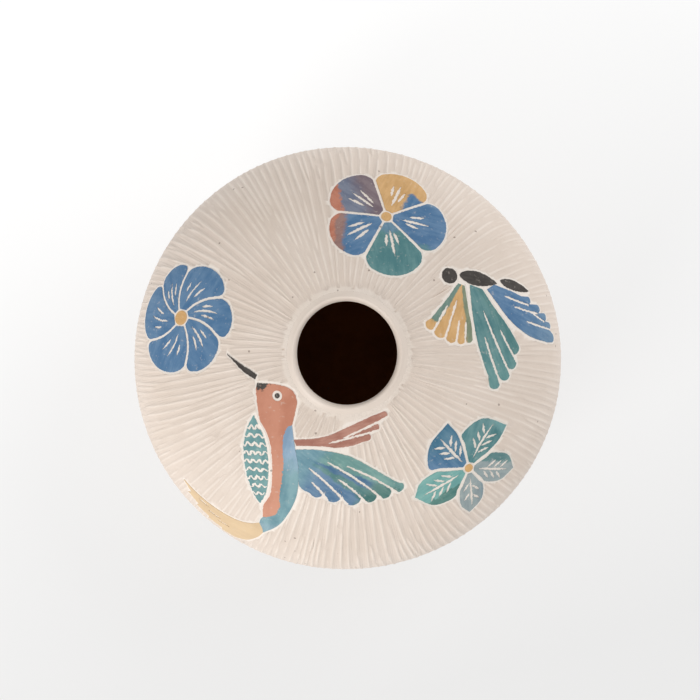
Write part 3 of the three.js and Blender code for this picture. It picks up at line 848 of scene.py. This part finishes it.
def wing(name, node, material, leading, tips, trailing, slits, slit_width, arch):
    """A wing: its leading edge, feather tips as (degrees, percent, radius) and trailing edge. `slits`
    are the places where the scratches between its feathers start."""
    front, rear = (smooth_run([at(*p) for p in edge]) for edge in (leading, trailing))
    root = (front[0] + rear[-1]) / 2
    centres = [at(*tip[:2]) for tip in tips]
    radii = [tip[2] for tip in tips]
    first, last = centres[0] - root, centres[-1] - root
    turning = math.copysign(1, first[0] * last[1] - first[1] * last[0])
    spans = []
    for a, b, ra, rb in zip(centres, centres[1:], radii, radii[1:]):
        spans.append(90 - math.degrees(math.acos(min(1, math.hypot(*(b - a)) / (ra + rb)))))
    spans = [70, *spans, 70]
    rim, notches = [], []
    for i, (centre, radius) in enumerate(zip(centres, radii)):
        heading = math.atan2(*(centre - root)[::-1])
        for angle in np.radians(np.linspace(-spans[i], spans[i + 1], 11)):
            turn = heading + turning * angle
            rim.append(centre + radius * np.array([math.cos(turn), math.sin(turn)]))
        notches.append(rim[-1])
    loop = np.concatenate([front[:-1], rim, rear[:-1]])
    scratches = []
    for notch, begin in zip(notches, slits):
        chord = notch - at(*begin)
        side = -turning * np.array([-chord[1], chord[0]]) * arch
        past = 1 + 0.0010 / np.hypot(*chord)
        run = [at(*begin) + chord * t * past + side * 4 * t * (1 - t) for t in np.linspace(0, 1, 5)]
        scratches.append(scratch(run, slit_width, open_end=True))
    return slip_island(
        name, node, material, [ragged(loop, EDGE_CHIP)], scratches, root, np.mean(centres, axis=0)
    )


body_black = paint("body_black_slip", BLACK, spread=0.08, rough=0.7, seed=5.0)
for name, shape in (
    ("insect_head", disc((37.3, 31.4), 0.0029)),
    ("insect_thorax", bead((35.2, 35.6), (25.4, 50.4), 0.0054, 0.80)),
    ("insect_tail", bead((25.8, 52.8), (19.4, 67.2), 0.0040, 0.80)),
):
    middle = shape.mean(0)
    edge = ragged(shape, 0.00008)
    slip_island(name + "_slip", name, body_black, [edge], [], shape[0], middle)

ochre_edges = [
    ("fan", -0.27, -0.33, (0.14, 0.245, 0.20)), ("reach", 0.93, 0.99, OCHRE), ("fan", 0.28, 0.34, MOSS)
]
wing_ochre = paint("wing_ochre_slip", OCHRE, edges=ochre_edges, seed=8.0, streak_scale=WING_STREAKS)
wing(
    "insect_wing_small_slip", "insect_wing_small", wing_ochre,
    [(32.4, 32.6), (31, 29), (28, 22.8), (24, 15.6), (21.8, 12.8)],
    [(19.2, 12.6, 0.0020), (13.2, 15.8, 0.0023), (8.9, 20.2, 0.0020), (7, 24.4, 0.0016), (6.9, 28, 0.0014)],
    [(8.4, 29.8), (13, 30.4), (20, 31.2), (30.6, 35)],
    [(25.5, 23), (26, 28), (16.5, 25.5), (15, 28.4)], 0.00085, 0.0,
)
teal_edges = [("reach", 0.5, 1.2, (0.13, 0.31, 0.30)), ("fan", 0.0, 0.3, (0.075, 0.225, 0.22))]
wing_teal = paint(
    "wing_teal_slip", TEAL, spread=0.18, edges=teal_edges, seed=9.0, streak_scale=WING_STREAKS
)
wing(
    "insect_wing_middle_slip", "insect_wing_middle", wing_teal,
    [(29.4, 37.2), (19.6, 33), (7, 31.8), (356.6, 34.6), (351, 37.8)],
    [(349, 41.4, 0.0023), (352.8, 45.8, 0.0023), (357.2, 48.9, 0.0024), (2.4, 50.2, 0.0026)],
    [(5.8, 51.2), (10.8, 47.9), (17.6, 44), (26.4, 41.6)],
    [(7, 35.8), (17.5, 38), (9, 44.2)], 0.0009, 0.02,
)
wing_blue = paint(
    "wing_blue_slip", BLUE, spread=0.17, edges=[("reach", 0.5, 1.4, SLATE)], seed=10.0,
    streak_scale=WING_STREAKS,
)
wing(
    "insect_wing_large_slip", "insect_wing_large", wing_blue,
    [(25.4, 48.6), (21, 56.6), (18.4, 61.6)],
    [(17, 64, 0.0017), (13.8, 69, 0.0018), (11.2, 73, 0.0017), (8.6, 76, 0.0014), (5.2, 77.2, 0.0020)],
    [(3.9, 73), (5.4, 62.4), (8.4, 55.2), (13, 49.6), (20, 45.8), (25.4, 44)],
    [(20.4, 51.6), (16, 55), (13, 65), (10.6, 60)], 0.00085, -0.02,
)

# ------------------------------------------------------------------ long-billed bird
# The largest painting: a rust head and flank laid edge to edge with a pale blue back, an ochre tail
# in dry strokes, a teal breast scratched into rows of small scallops, and two spread wings.
EYE = (211.5, 9.2)
BREAST_TEAL = (0.14, 0.335, 0.335)
PALE_BLUE = (0.27, 0.42, 0.56)
PALE_OCHRE = (0.72, 0.53, 0.32)

bill = outline(
    [(180.2, 27), (186.4, 20), (193.4, 14.2)],
    [(193.4, 14.2), (195.8, 15.6)],
    [(195.8, 15.6), (189.4, 20.3), (180.2, 27)],
)
slip_island(
    "bird_bill_slip", "bird_bill", body_black, [ragged(bill, 0.00006)], [],
    at(196, 16), at(180.2, 27),
)


def drawn(*places):
    return smooth_run([at(*place) for place in places])


back_seam = ragged(
    drawn(
        (232.5, 12.8), (231.4, 16), (234, 21.5), (240, 30), (242.8, 38), (244.8, 46), (246.2, 50.4),
        (245.6, 56), (242.6, 60),
    ),
    0.00013,
)
head = drawn((198.4, 15), (203.8, 7.6), (211, 3.2), (218, 2.4), (224.6, 4), (229, 7.8), (232.5, 12.8))
belly = drawn(
    (242.6, 60), (241, 54), (241.3, 46.5), (239, 39), (235, 31.5), (230, 26), (224.5, 23), (217.6, 21.6),
    (209.6, 18.8), (200.8, 16.4),
)
flank = np.concatenate([ragged(head, 0.00006)[:-1], back_seam[:-1], ragged(belly, 0.00006), head[:1]])[:-1]
rust_edges = [(0, 0.25, 0.7, (0.61, 0.265, 0.165)), ("reach", 0.055, 0.040, BLACK)]
bird_rust = paint(
    "bird_rust_slip", (0.56, 0.225, 0.135), spread=0.13, edges=rust_edges, seed=11.0, streak_scale=5.0
)
slip_island(
    "bird_head_and_flank_slip", "bird_head_and_flank", bird_rust,
    [flank], [disc(EYE, 0.0018)], at(199, 13.6), at(243, 60),
)
slip_island(
    "bird_eye_slip", "bird_eye", body_black, [disc(EYE, 0.0009, 16)], [],
    at(*EYE), petal_places(EYE, 0.002, 0),
)

breast = outline(
    [(213.5, 22.8), (225, 25.6), (231.6, 30.4), (237.4, 39.4), (239.6, 47.4), (239.6, 53.6)],
    [(239.6, 53.6), (235.6, 50.2), (230, 44.5), (223.5, 37.5), (217.5, 30), (213.5, 22.8)],
)
throat, keel = at(213.5, 22.8), at(239.6, 53.6)
down_breast = keel - throat
over_breast = np.array([-down_breast[1], down_breast[0]])
scallops = []
for row in range(9):
    t = 0.115 + row * 0.094
    wide = 0.175 * math.sin(math.pi * min(1, t + 0.04)) ** 0.8
    count = max(2, int(round(wide / 0.038)))
    wave = []
    for k in range(2 * count + 1):
        u = -wide + 2 * wide * k / (2 * count)
        rise = rng.uniform(0.018, 0.032) if k % 2 else -0.012
        wave.append(throat + down_breast * (t + rise) + over_breast * u)
    scallops.append(scratch(wave, 0.00092, 0.00012))
slip_island(
    "bird_breast_slip", "bird_breast", paint("bird_breast_slip", BREAST_TEAL, spread=0.24, seed=12.0),
    [ragged(breast, 0.00008)], scallops, throat, keel,
)

tail_seam = drawn((242.4, 64.4), (243.9, 67), (244.6, 69.6))
spine = drawn(
    (232.5, 12.8), (238, 17.5), (242.2, 22), (246.5, 27.8), (249.2, 34.8), (250.4, 42.5), (249.8, 51.5),
    (248, 61), (244.6, 69.6),
)
vent = drawn((242.4, 64.4), (242.2, 62), (242.6, 60))
back = np.concatenate([spine[:-1], tail_seam[::-1][:-1], vent[:-1], back_seam[::-1][:-1]])
back_edges = [(0, 0.18, 0.42, (0.15, 0.335, 0.38)), (0, 0.80, 0.95, (0.25, 0.42, 0.48))]
slip_island(
    "bird_back_slip", "bird_back",
    paint("bird_back_slip", PALE_BLUE, spread=0.26, edges=back_edges, seed=13.0, streak_scale=6.0),
    [back], [], at(232.5, 13), at(244.6, 69.5),
)

hem = [(244.6, 69.6), (243.6, 75), (241.2, 82.5), (238, 87.4)]
strokes_end = [
    (238, 87.4), (234, 88.2), (233.6, 86), (229.2, 86.6), (229.2, 84.4), (224.4, 84.2),
    (225, 81.8), (220.4, 81), (221.2, 78.8), (217, 76.6),
]
top = [(217, 76.6), (222.6, 75.4), (229.4, 73.6), (236, 71), (240, 67.8), (242.4, 64.4)]
jagged = [ragged(drawn(a, b)[:-1], 0.00010) for a, b in zip(strokes_end, strokes_end[1:])]
tail = np.concatenate([tail_seam[:-1], drawn(*hem)[:-1], *jagged, drawn(*top)[:-1]])
dry = [
    scratch([at(*a), at(*b)], 0.00075, 0.00012)
    for a, b in (((228, 79.4), (232.5, 78.2)), ((231.4, 81.2), (235.4, 79.6)), ((223.6, 77.4), (228, 76.6)))
]
slip_island(
    "bird_tail_slip", "bird_tail",
    paint("bird_tail_slip", PALE_OCHRE, spread=0.10, seed=14.0, streak_scale=6.0),
    [tail], dry, at(243, 68), at(220, 80),
)

wing_rust = paint(
    "bird_wing_rust_slip", (0.45, 0.19, 0.13), spread=0.24, seed=15.0, streak_scale=WING_STREAKS
)
wing(
    "bird_wing_upper_slip", "bird_wing_upper", wing_rust,
    [(238.5, 17.9), (249.6, 13.2), (259, 9.6), (274, 4.8), (290.5, 2.9), (297.6, 3.1)],
    [(300.6, 4.8, 0.0013), (290.6, 8, 0.0014), (283.4, 11.2, 0.0013)],
    [(280, 12.8), (273.4, 13.9), (264, 15), (257.5, 15.2), (251, 16.4), (240.5, 19.9)],
    [(267.5, 10.6), (258.5, 13.6)], 0.0008, 0.0,
)
feather_edges = [
    ("fan", -0.08, -0.02, (0.085, 0.23, 0.225)),
    ("fan", 0.09, 0.13, (0.065, 0.175, 0.30)),
    ("reach", 1.00, 1.16, (0.055, 0.185, 0.165)),
    ("fan", 0.20, 0.25, (0.16, 0.34, 0.31)),
    (0, 0.46, 0.20, (0.15, 0.32, 0.385)),
]
wing_feathers = paint(
    "bird_wing_slip", (0.09, 0.205, 0.345), spread=0.20, edges=feather_edges, seed=16.0,
    streak_scale=WING_STREAKS,
)
wing(
    "bird_wing_lower_slip", "bird_wing_lower", wing_feathers,
    [
        (241.9, 21.5), (246.6, 19.5), (252.4, 17.9), (263, 17.3), (273, 19.4), (282, 25.2), (289, 32.6),
        (292.4, 36.8),
    ],
    [
        (291, 38, 0.0021), (285, 38.3, 0.0026), (278.8, 38.4, 0.0028), (271.9, 38.4, 0.0033),
        (264.4, 37.2, 0.0032), (257.6, 36.8, 0.0025),
    ],
    [(255, 38.4), (252.8, 37.9), (250.6, 37), (249.3, 34.8), (246.6, 27.8), (243.4, 23.4)],
    [(270, 23.4), (260, 22.2), (266, 29.6), (251.6, 27), (254.5, 33)], 0.0009, 0.03,
)

# ------------------------------------------------------------------ carved shoulder
# The shoulder wall, cut all over with shallow strokes of a small tool drawn outwards from the lip.
# A new stroke starts wherever its neighbours have parted, and every stroke stops short of the
# painting, where a stylus has scratched a plain line round each island.
STROKE_PITCH = ((0.0216, 0.00150), (0.032, 0.00170), (0.045, 0.00200), (0.062, 0.00225), (0.080, 0.00215))
STROKE_CREST = 0.0  # of the ridges, against the shoulder's own curve
STROKE_FLOOR = -0.00034  # of the cuts between them
STROKE_HALF = 0.31  # of a ridge's half width, as a share of the pitch
STROKE_TAPER = 0.0035  # length over which a stroke rises out of the clay
STROKE_RIDGE = ((-1, 0.0), (-0.5, 0.62), (0, 1.0), (0.5, 0.62), (1, 0.0))  # across it: place, height
LINE_FLOOR = -0.00012  # of the plain line round each island
LINE_WIDTH = 0.00070
CARVE_STEP = 0.0005  # between two steps of a stroke
PLAIN_EDGE = 0.0016  # left uncarved at the lip and at the seam
ROW = 5  # carve steps between two points of a stroke
CELL = 0.00025  # of the map of distances to the painting
NEAR = 0.003  # how far from an island its distances are worked out
HIDDEN_MESH = 0.0022  # between points of the clay under the painting


def distance_to_paint():
    """How far each cell of the unrolled shoulder is from the painting: below zero inside it."""
    size = SKIRT + FLAT_HUB + 0.002
    count = int(2 * size / CELL)
    far = np.full((count, count), 0.004)
    covered = np.zeros((count, count), bool)
    for outlines, _ in painted:
        for loop in outlines:
            low = np.maximum(((loop.min(0) + size) / CELL).astype(int) - 1, 0)
            high = ((loop.max(0) + size) / CELL).astype(int) + 2
            gy, gx = np.mgrid[low[1] : high[1], low[0] : high[0]]
            cells = np.stack([gx.ravel(), gy.ravel()], axis=-1) * CELL - size
            covered[low[1] : high[1], low[0] : high[0]] |= inside(cells, loop).reshape(gx.shape)
            for a, b in zip(loop, np.roll(loop, -1, axis=0)):
                l0 = ((np.minimum(a, b) - NEAR + size) / CELL).astype(int)
                h0 = ((np.maximum(a, b) + NEAR + size) / CELL).astype(int) + 1
                gy, gx = np.mgrid[l0[1] : h0[1], l0[0] : h0[0]]
                px, py = gx * CELL - size - a[0], gy * CELL - size - a[1]
                dx, dy = b - a
                t = np.clip((px * dx + py * dy) / max(dx * dx + dy * dy, 1e-14), 0, 1)
                near = np.hypot(px - t * dx, py - t * dy)
                window = far[l0[1] : h0[1], l0[0] : h0[0]]
                np.minimum(window, near, out=window)
    return np.where(covered, -far, far), size


paint_distance, paint_size = distance_to_paint()


def from_paint(points):
    """Distance of points on the unrolled shoulder from the painting."""
    where = (points + paint_size) / CELL
    low = np.clip(where.astype(int), 0, len(paint_distance) - 2)
    fx, fy = (where - low).T
    x, y = low.T
    d = paint_distance
    top = d[y, x] * (1 - fx) + d[y, x + 1] * fx
    bottom = d[y + 1, x] * (1 - fx) + d[y + 1, x + 1] * fx
    return top * (1 - fy) + bottom * fy


def stroke_paths():
    """The first step of every stroke and its turn at each step after that: they are walked outwards,
    and ease apart to make room for new ones."""
    steps = int(SKIRT / CARVE_STEP)
    radius = np.interp(np.arange(steps + 1) * CARVE_STEP, skin_down, skin_r)
    pitch = np.interp(radius, *zip(*STROKE_PITCH))
    count = int(2 * math.pi * radius[0] / pitch[0])
    turns = [2 * math.pi * (i + rng.uniform(-0.22, 0.22)) / count for i in range(count)]
    live = [{"first": 0, "turns": [t]} for t in turns]
    for step in range(1, steps + 1):
        now = np.array([stroke["turns"][-1] for stroke in live])
        gap = (np.roll(now, -1) - now) % (2 * math.pi)
        ease = 0.012 * (gap - np.roll(gap, 1))
        for stroke, move in zip(live, ease):
            stroke["turns"].append(stroke["turns"][-1] + move)
        if step % 8 == 0 and step < steps - 24:
            wide = [i for i in range(len(live)) if gap[i] * radius[step] > 1.5 * pitch[step]]
            for i in reversed(wide):
                born = live[i]["turns"][-1] + gap[i] * rng.uniform(0.42, 0.58)
                live.insert(i + 1, {"first": step, "turns": [born]})
    return live


def carved_lines():
    """Five lines along each stroke on the unrolled shoulder, from foot over crest to foot, with the
    height of every point."""
    lines = []
    live = stroke_paths()
    steps = int(SKIRT / CARVE_STEP)
    top, bottom = int(PLAIN_EDGE / CARVE_STEP), steps - int(PLAIN_EDGE / CARVE_STEP)
    swing = rng.uniform(0, 2 * math.pi, 4)
    for stroke in live:
        turns = np.array(stroke["turns"])
        down = (stroke["first"] + np.arange(len(turns))) * CARVE_STEP
        radius = np.interp(down, skin_down, skin_r)
        pitch = np.interp(radius, *zip(*STROKE_PITCH))
        share = down / SKIRT
        sway = 0.05 * np.sin(2 * turns + swing[0] + 2.2 * share)
        sway = sway + 0.03 * np.sin(5 * turns + swing[1] + 3 * share)
        turns = turns + sway * share
        wander = np.cumsum(rng.normal(0, 1, len(turns)))
        wander = np.convolve(wander, np.ones(25) / 25, mode="same")
        turns = turns + 0.00004 * (wander - wander.mean()) / radius
        depth = rng.uniform(0.68, 1.0) + 0.16 * np.sin(share * rng.uniform(6, 16) + rng.uniform(0, 6))
        depth = depth * (0.70 + 0.34 * np.abs(np.sin(turns)))
        depth = depth * (1 - 0.45 * np.clip((share - 0.70) / 0.14, 0, 1))
        begun = stroke["first"]
        first = max(0, top + int(rng.integers(-1, 5)) - begun) if begun < top + 6 else 0
        last = bottom - begun + int(rng.integers(-2, 2))
        breaks = [int(b) for b in rng.integers(0, len(turns), 5) if rng.random() < 0.5]
        edges = sorted([first, last] + [b for b in breaks if first + 16 < b < last - 16])
        for begin, end in zip(edges, edges[1:]):
            begin = begin + (0 if begin == first else int(rng.integers(2, 5)))
            if end - begin < 8:
                continue
            run = np.arange(begin, min(end, len(turns)))
            from_end = np.minimum(run - begin, run[-1] - run) * CARVE_STEP
            taper = np.clip(from_end / STROKE_TAPER, 0, 1) ** 0.6
            width = STROKE_HALF * pitch[run] * (0.35 + 0.65 * taper)
            rise = (STROKE_CREST - STROKE_FLOOR) * np.clip(depth[run], 0, 1) * (0.25 + 0.75 * taper)
            for aside, share_up in STROKE_RIDGE:
                line = flat(turns[run] + aside * width / radius[run], down[run])
                lines.append((line, STROKE_FLOOR + rise * share_up))
    return lines


def clipped(line, height, margin):
    """The stretches of a line that stay `margin` clear of the painting, thinned to one point per row."""
    clear = from_paint(line) > margin
    starts = np.flatnonzero(clear & ~np.r_[False, clear[:-1]])
    ends = np.flatnonzero(clear & ~np.r_[clear[1:], False])
    for a, b in zip(starts, ends):
        if b - a < 4:
            continue
        keep = np.unique(np.r_[a, np.arange(a + (-a) % ROW, b, ROW), b])
        yield line[keep], height[keep]


def carved_shoulder():
    """Points of the shoulder's outer skin on the unrolled plane, its triangles, and the points' heights."""
    points, heights, edges = [], [], []
    total = 0

    def add(line, height, closed=False):
        nonlocal total
        count = len(line)
        points.append(line)
        heights.append(np.broadcast_to(height, (count,)).astype(float))
        edges.extend((total + i, total + i + 1) for i in range(count - 1))
        if closed:
            edges.append((total + count - 1, total))
        total += count

    for line, height in carved_lines():
        for piece, lifts in clipped(line, height, LINE_WIDTH + 0.0002):
            add(piece, lifts)
    around = np.linspace(0, 2 * math.pi, CLAY_ROUND, endpoint=False)
    rings = (
        (0.0, 0.00004), (0.0006, 0.0), (0.0014, -0.00006), (SKIRT - 0.0008, -0.0001), (SKIRT, -SEAM_GROOVE),
    )
    for down, height in rings:
        add(flat(around, np.full(CLAY_ROUND, down)), height, closed=True)
    loops = [ragged(loop, 0.00002) for outlines, _ in painted for loop in outlines]
    for loop in loops:
        ahead = np.roll(loop, -1, axis=0) - np.roll(loop, 1, axis=0)
        side = np.stack([ahead[:, 1], -ahead[:, 0]], axis=-1) / np.hypot(*ahead.T)[:, None]
        if inside((loop[:1] + side[:1] * 1e-5), loop)[0]:
            side = -side
        for width, height in ((0.0, LINE_FLOOR), (LINE_WIDTH * 0.55, LINE_FLOOR), (LINE_WIDTH, -0.00006)):
            ring = loop + side * width
            distance = from_paint(ring)
            good = distance > width - 0.00012 if width else distance > -0.0004
            ring = ring[good]
            if len(ring) > 2:
                points.append(ring)
                heights.append(np.full(len(ring), height))
                total += len(ring)
    reach = BAND + FLAT_HUB
    gx, gy = np.meshgrid(*[np.arange(-reach, reach, HIDDEN_MESH)] * 2)
    grid = np.stack([gx.ravel(), gy.ravel()], axis=-1)
    grid = grid[np.hypot(*grid.T) < reach]
    grid = grid[from_paint(grid) < -0.0006]
    points.append(grid)
    heights.append(np.full(len(grid), LINE_FLOOR))
    points, heights = np.concatenate(points), np.concatenate(heights)
    result = delaunay_2d_cdt([Vector(p) for p in points], edges, [], 0, 1e-6)
    flat_points = np.array([tuple(v) for v in result[0]])
    faces = np.array(result[2])
    lifts = np.array([heights[o].mean() if len(o) else np.nan for o in result[3]])
    turn, down = unflat(flat_points)
    lifts = np.where(np.isnan(lifts), STROKE_FLOOR * 0.7, lifts)
    middle = np.hypot(*flat_points[faces].mean(1).T)
    faces = faces[middle > FLAT_HUB * math.cos(math.pi / CLAY_ROUND) - 1e-6]
    return flat_points, faces, lifts


def tool_marks_group():
    """Fine uneven ripples that run outwards from the mouth, as the tool's worn edge leaves them."""
    tree = bpy.data.node_groups.new("tool_marks", "ShaderNodeTree")
    group_sockets(
        tree,
        [("Ripples Round", "NodeSocketFloat", 60.0), ("Ripples Out", "NodeSocketFloat", 90.0)],
        [("Relief", "NodeSocketFloat")],
    )
    w = Wiring(tree)
    given = w.add("NodeGroupInput").outputs
    place = w.add("ShaderNodeTexCoord").outputs["Object"]
    level = w.math("MULTIPLY", place, (1.0, 1.0, 0.0), kind="ShaderNodeVectorMath")
    outwards = w.add("ShaderNodeVectorMath", level, operation="LENGTH").outputs["Value"]
    heading = w.add("ShaderNodeVectorMath", level, operation="NORMALIZE").outputs[0]
    total = None
    for share, scale in ((0.6, 1.0), (0.4, 2.3)):
        round_it = w.math("MULTIPLY", given["Ripples Round"], scale)
        turned = w.add("ShaderNodeVectorMath", heading, named={"Scale": round_it}, operation="SCALE")
        lane = w.add("ShaderNodeSeparateXYZ", turned.outputs[0]).outputs
        depth = w.math("MULTIPLY", outwards, given["Ripples Out"])
        at_place = w.add("ShaderNodeCombineXYZ", lane[0], lane[1], depth).outputs[0]
        noise = w.add("ShaderNodeTexNoise", at_place, named={"Scale": 1.0, "Detail": 2.0}).outputs["Fac"]
        part = w.math("MULTIPLY", noise, share)
        total = part if total is None else w.math("ADD", total, part)
    w.add("NodeGroupOutput", total)
    return tree


def carved_slip_material():
    """Burnished cream slip: paler where the stylus scraped it, with painted shade darkening it down in the
    strokes.
    """
    material, w, shader = blank_material("carved_cream_slip")
    grain = w.add("ShaderNodeGroup", node_tree=clay_grain)
    marks = w.add("ShaderNodeGroup", node_tree=tool_marks_group())
    scraped = w.add("ShaderNodeAttribute", attribute_name="scraped").outputs["Fac"]
    groove_shade = w.add("ShaderNodeAttribute", attribute_name="groove_shade").outputs["Fac"]
    cream = w.mix(w.ramp(grain.outputs["Tone"], 0.3, 0.7), (0.76, 0.66, 0.575), (0.815, 0.72, 0.64))
    # painted shade: the cream is darkened towards brown by how deep each point lies in a stroke's cut
    cream = w.mix(w.math("MULTIPLY", w.ramp(groove_shade, 0.15, 0.9), 0.32), cream, (0.56, 0.44, 0.36))
    cream = w.mix(w.math("MULTIPLY", w.ramp(scraped, 0.30, 0.70), 0.85), cream, (0.86, 0.785, 0.715))
    cream = w.mix(w.math("MULTIPLY", grain.outputs["Specks"], 0.6), cream, (0.16, 0.10, 0.07))
    w.tree.links.new(cream, shader.inputs["Base Color"])
    w.tree.links.new(w.ramp(grain.outputs["Fine"], 0.3, 0.7, 0.44, 0.58), shader.inputs["Roughness"])
    unscraped = w.math("SUBTRACT", 1.0, scraped)
    ripples = w.math("MULTIPLY", marks.outputs["Relief"], unscraped)
    height = w.math("ADD", w.math("MULTIPLY", ripples, 5.0), grain.outputs["Relief"])
    relief(w, shader, height, 0.00008)
    return material


flat_points, skin_faces, lifts = carved_shoulder()
turn, down = unflat(flat_points)
outer = on_skin(turn, down, lifts)

joint_ring = np.flatnonzero(np.abs(down) < 1e-6)
joint_ring = joint_ring[np.argsort(turn[joint_ring])]
seam_ring = np.flatnonzero(np.abs(down - SKIRT) < 1e-6)
seam_ring = seam_ring[np.argsort(turn[seam_ring])]
inner_top = BELLY_HEIGHT + (SHOULDER_RISE - WALL) * math.sqrt(1 - (LIP_JOINT / (BODY_RADIUS - WALL)) ** 2)
inner_heights = BELLY_HEIGHT + (inner_top - BELLY_HEIGHT) * np.sin(np.linspace(math.pi / 2, 0, 26))
inner_curve = curve_of(SHOULDER_RISE, WALL, inner_heights)
inner_curve += curve_of(-LOWER_DROP, WALL, np.linspace(BELLY_HEIGHT, SEAM_HEIGHT, 6)[1:])
ring_turns = turn[joint_ring]
inner_points = []
for r, z in inner_curve:
    uneven = r + (r * OVAL_GROWTH - OVAL_START) * np.cos(2 * ring_turns)
    uneven = uneven + LOBES / BODY_RADIUS * r * np.cos(3 * ring_turns + LOBE_TURN)
    ring = [uneven * np.cos(ring_turns), uneven * np.sin(ring_turns), np.full(len(ring_turns), z)]
    inner_points.append(np.stack(ring, -1))
first_inner = len(outer)
ring_size = len(ring_turns)
vertices = np.concatenate([outer] + inner_points)
polygons = [tuple(map(int, f)) for f in skin_faces]
rings = [list(joint_ring)] + [
    [first_inner + k * ring_size + i for i in range(ring_size)] for k in range(len(inner_curve))
]
rings.append(list(seam_ring))
for k, (upper, lower) in enumerate(zip(rings, rings[1:])):
    if len(upper) != len(lower):
        raise ValueError("the shoulder's rings don't match")
    for i in range(ring_size):
        j = (i + 1) % ring_size
        polygons.append((int(upper[i]), int(upper[j]), int(lower[j]), int(lower[i])))
shoulder_mesh = bpy.data.meshes.new("carved_shoulder_clay")
shoulder_mesh.from_pydata(vertices.tolist(), [], polygons)
shoulder_mesh.shade_smooth()
shoulder_mesh.set_sharp_from_angle(angle=CORNER)
distance = from_paint(flat_points)
scraped = np.clip((LINE_WIDTH + 0.0002 - distance) / 0.0003, 0, 1) * (down < SKIRT - 0.002)
# how deep each point lies between a stroke's crest and floor, which sets the painted shade in the cuts
groove_shade = np.clip((lifts - STROKE_CREST) / (STROKE_FLOOR - STROKE_CREST), 0, 1)
rest = np.zeros(len(vertices) - len(outer))
for key, values in (("scraped", scraped), ("groove_shade", groove_shade)):
    layer = shoulder_mesh.attributes.new(key, "FLOAT", "POINT")
    layer.data.foreach_set("value", np.r_[values, rest].astype(np.float32))
shoulder_mesh.materials.append(carved_slip_material())
shoulder_mesh.materials.append(raw_inside)
slots = np.zeros(len(polygons), np.int32)
slots[len(skin_faces) :] = 1
shoulder_mesh.polygons.foreach_set("material_index", slots)
shoulder = bpy.data.objects.new("carved_shoulder_clay", shoulder_mesh)
bpy.context.scene.collection.objects.link(shoulder)
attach(shoulder, "root")
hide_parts("shoulder_wall")

# ------------------------------------------------------------------ floor, light and camera
# A plain pale sheet that glows a little more at the back, a soft light low on the near left, a fill
# from the far right, and a long lens straight overhead.
floor_mesh = bpy.data.meshes.new("floor")
floor_mesh.from_pydata([(-3, -3, 0), (3, -3, 0), (3, 3, 0), (-3, 3, 0)], [], [(0, 1, 2, 3)])
floor = bpy.data.objects.new("floor", floor_mesh)
bpy.context.scene.collection.objects.link(floor)
floor_material, w, shader = blank_material("pale_floor")
shader.inputs["Base Color"].default_value = (0.30, 0.30, 0.30, 1)
shader.inputs["Roughness"].default_value = 0.9
shader.inputs["Emission Color"].default_value = (1, 1, 1, 1)
across_floor = w.add("ShaderNodeSeparateXYZ", w.add("ShaderNodeTexCoord").outputs["Object"]).outputs
diagonal = w.math("SUBTRACT", across_floor[1], w.math("MULTIPLY", across_floor[0], 0.3))
glow = w.ramp(diagonal, -0.14, 0.14, 0.515, 0.72, smooth=False)
w.tree.links.new(glow, shader.inputs["Emission Strength"])
floor_mesh.materials.append(floor_material)

world = bpy.data.worlds.new("studio")
world.use_nodes = True
world.node_tree.nodes["Background"].inputs[0].default_value = (1.0, 0.995, 0.985, 1)
world.node_tree.nodes["Background"].inputs[1].default_value = 0.60
bpy.context.scene.world = world


def soft_light(name, place, size, watts, colour):
    lamp = bpy.data.lights.new(name, "AREA")
    lamp.energy = watts
    lamp.size = size
    lamp.color = colour
    light = bpy.data.objects.new(name, lamp)
    light.location = place
    light.rotation_euler = (Vector((0, 0, 0.06)) - Vector(place)).to_track_quat("-Z", "Y").to_euler()
    bpy.context.scene.collection.objects.link(light)


soft_light("key", (-0.75, -0.85, 0.60), 0.5, 8.2, (1.0, 0.99, 0.975))
soft_light("fill", (0.95, 0.62, 0.85), 0.9, 7.0, (0.98, 0.99, 1.0))

FROM_BELLY = 0.732  # the camera's distance
TILT = math.radians(2.36)  # how far it leans towards the near side
lens_data = bpy.data.cameras.new("camera")
lens_data.lens = 100
lens_data.sensor_width = 36
camera = bpy.data.objects.new("camera", lens_data)
aim = Vector((0.00106, 0.0030, BELLY_HEIGHT))
camera.location = aim + FROM_BELLY * Vector((0, -math.sin(TILT), math.cos(TILT)))
camera.rotation_euler = (TILT, 0, 0)
bpy.context.scene.collection.objects.link(camera)
bpy.context.scene.camera = camera
bpy.context.scene.view_settings.view_transform = "Standard"
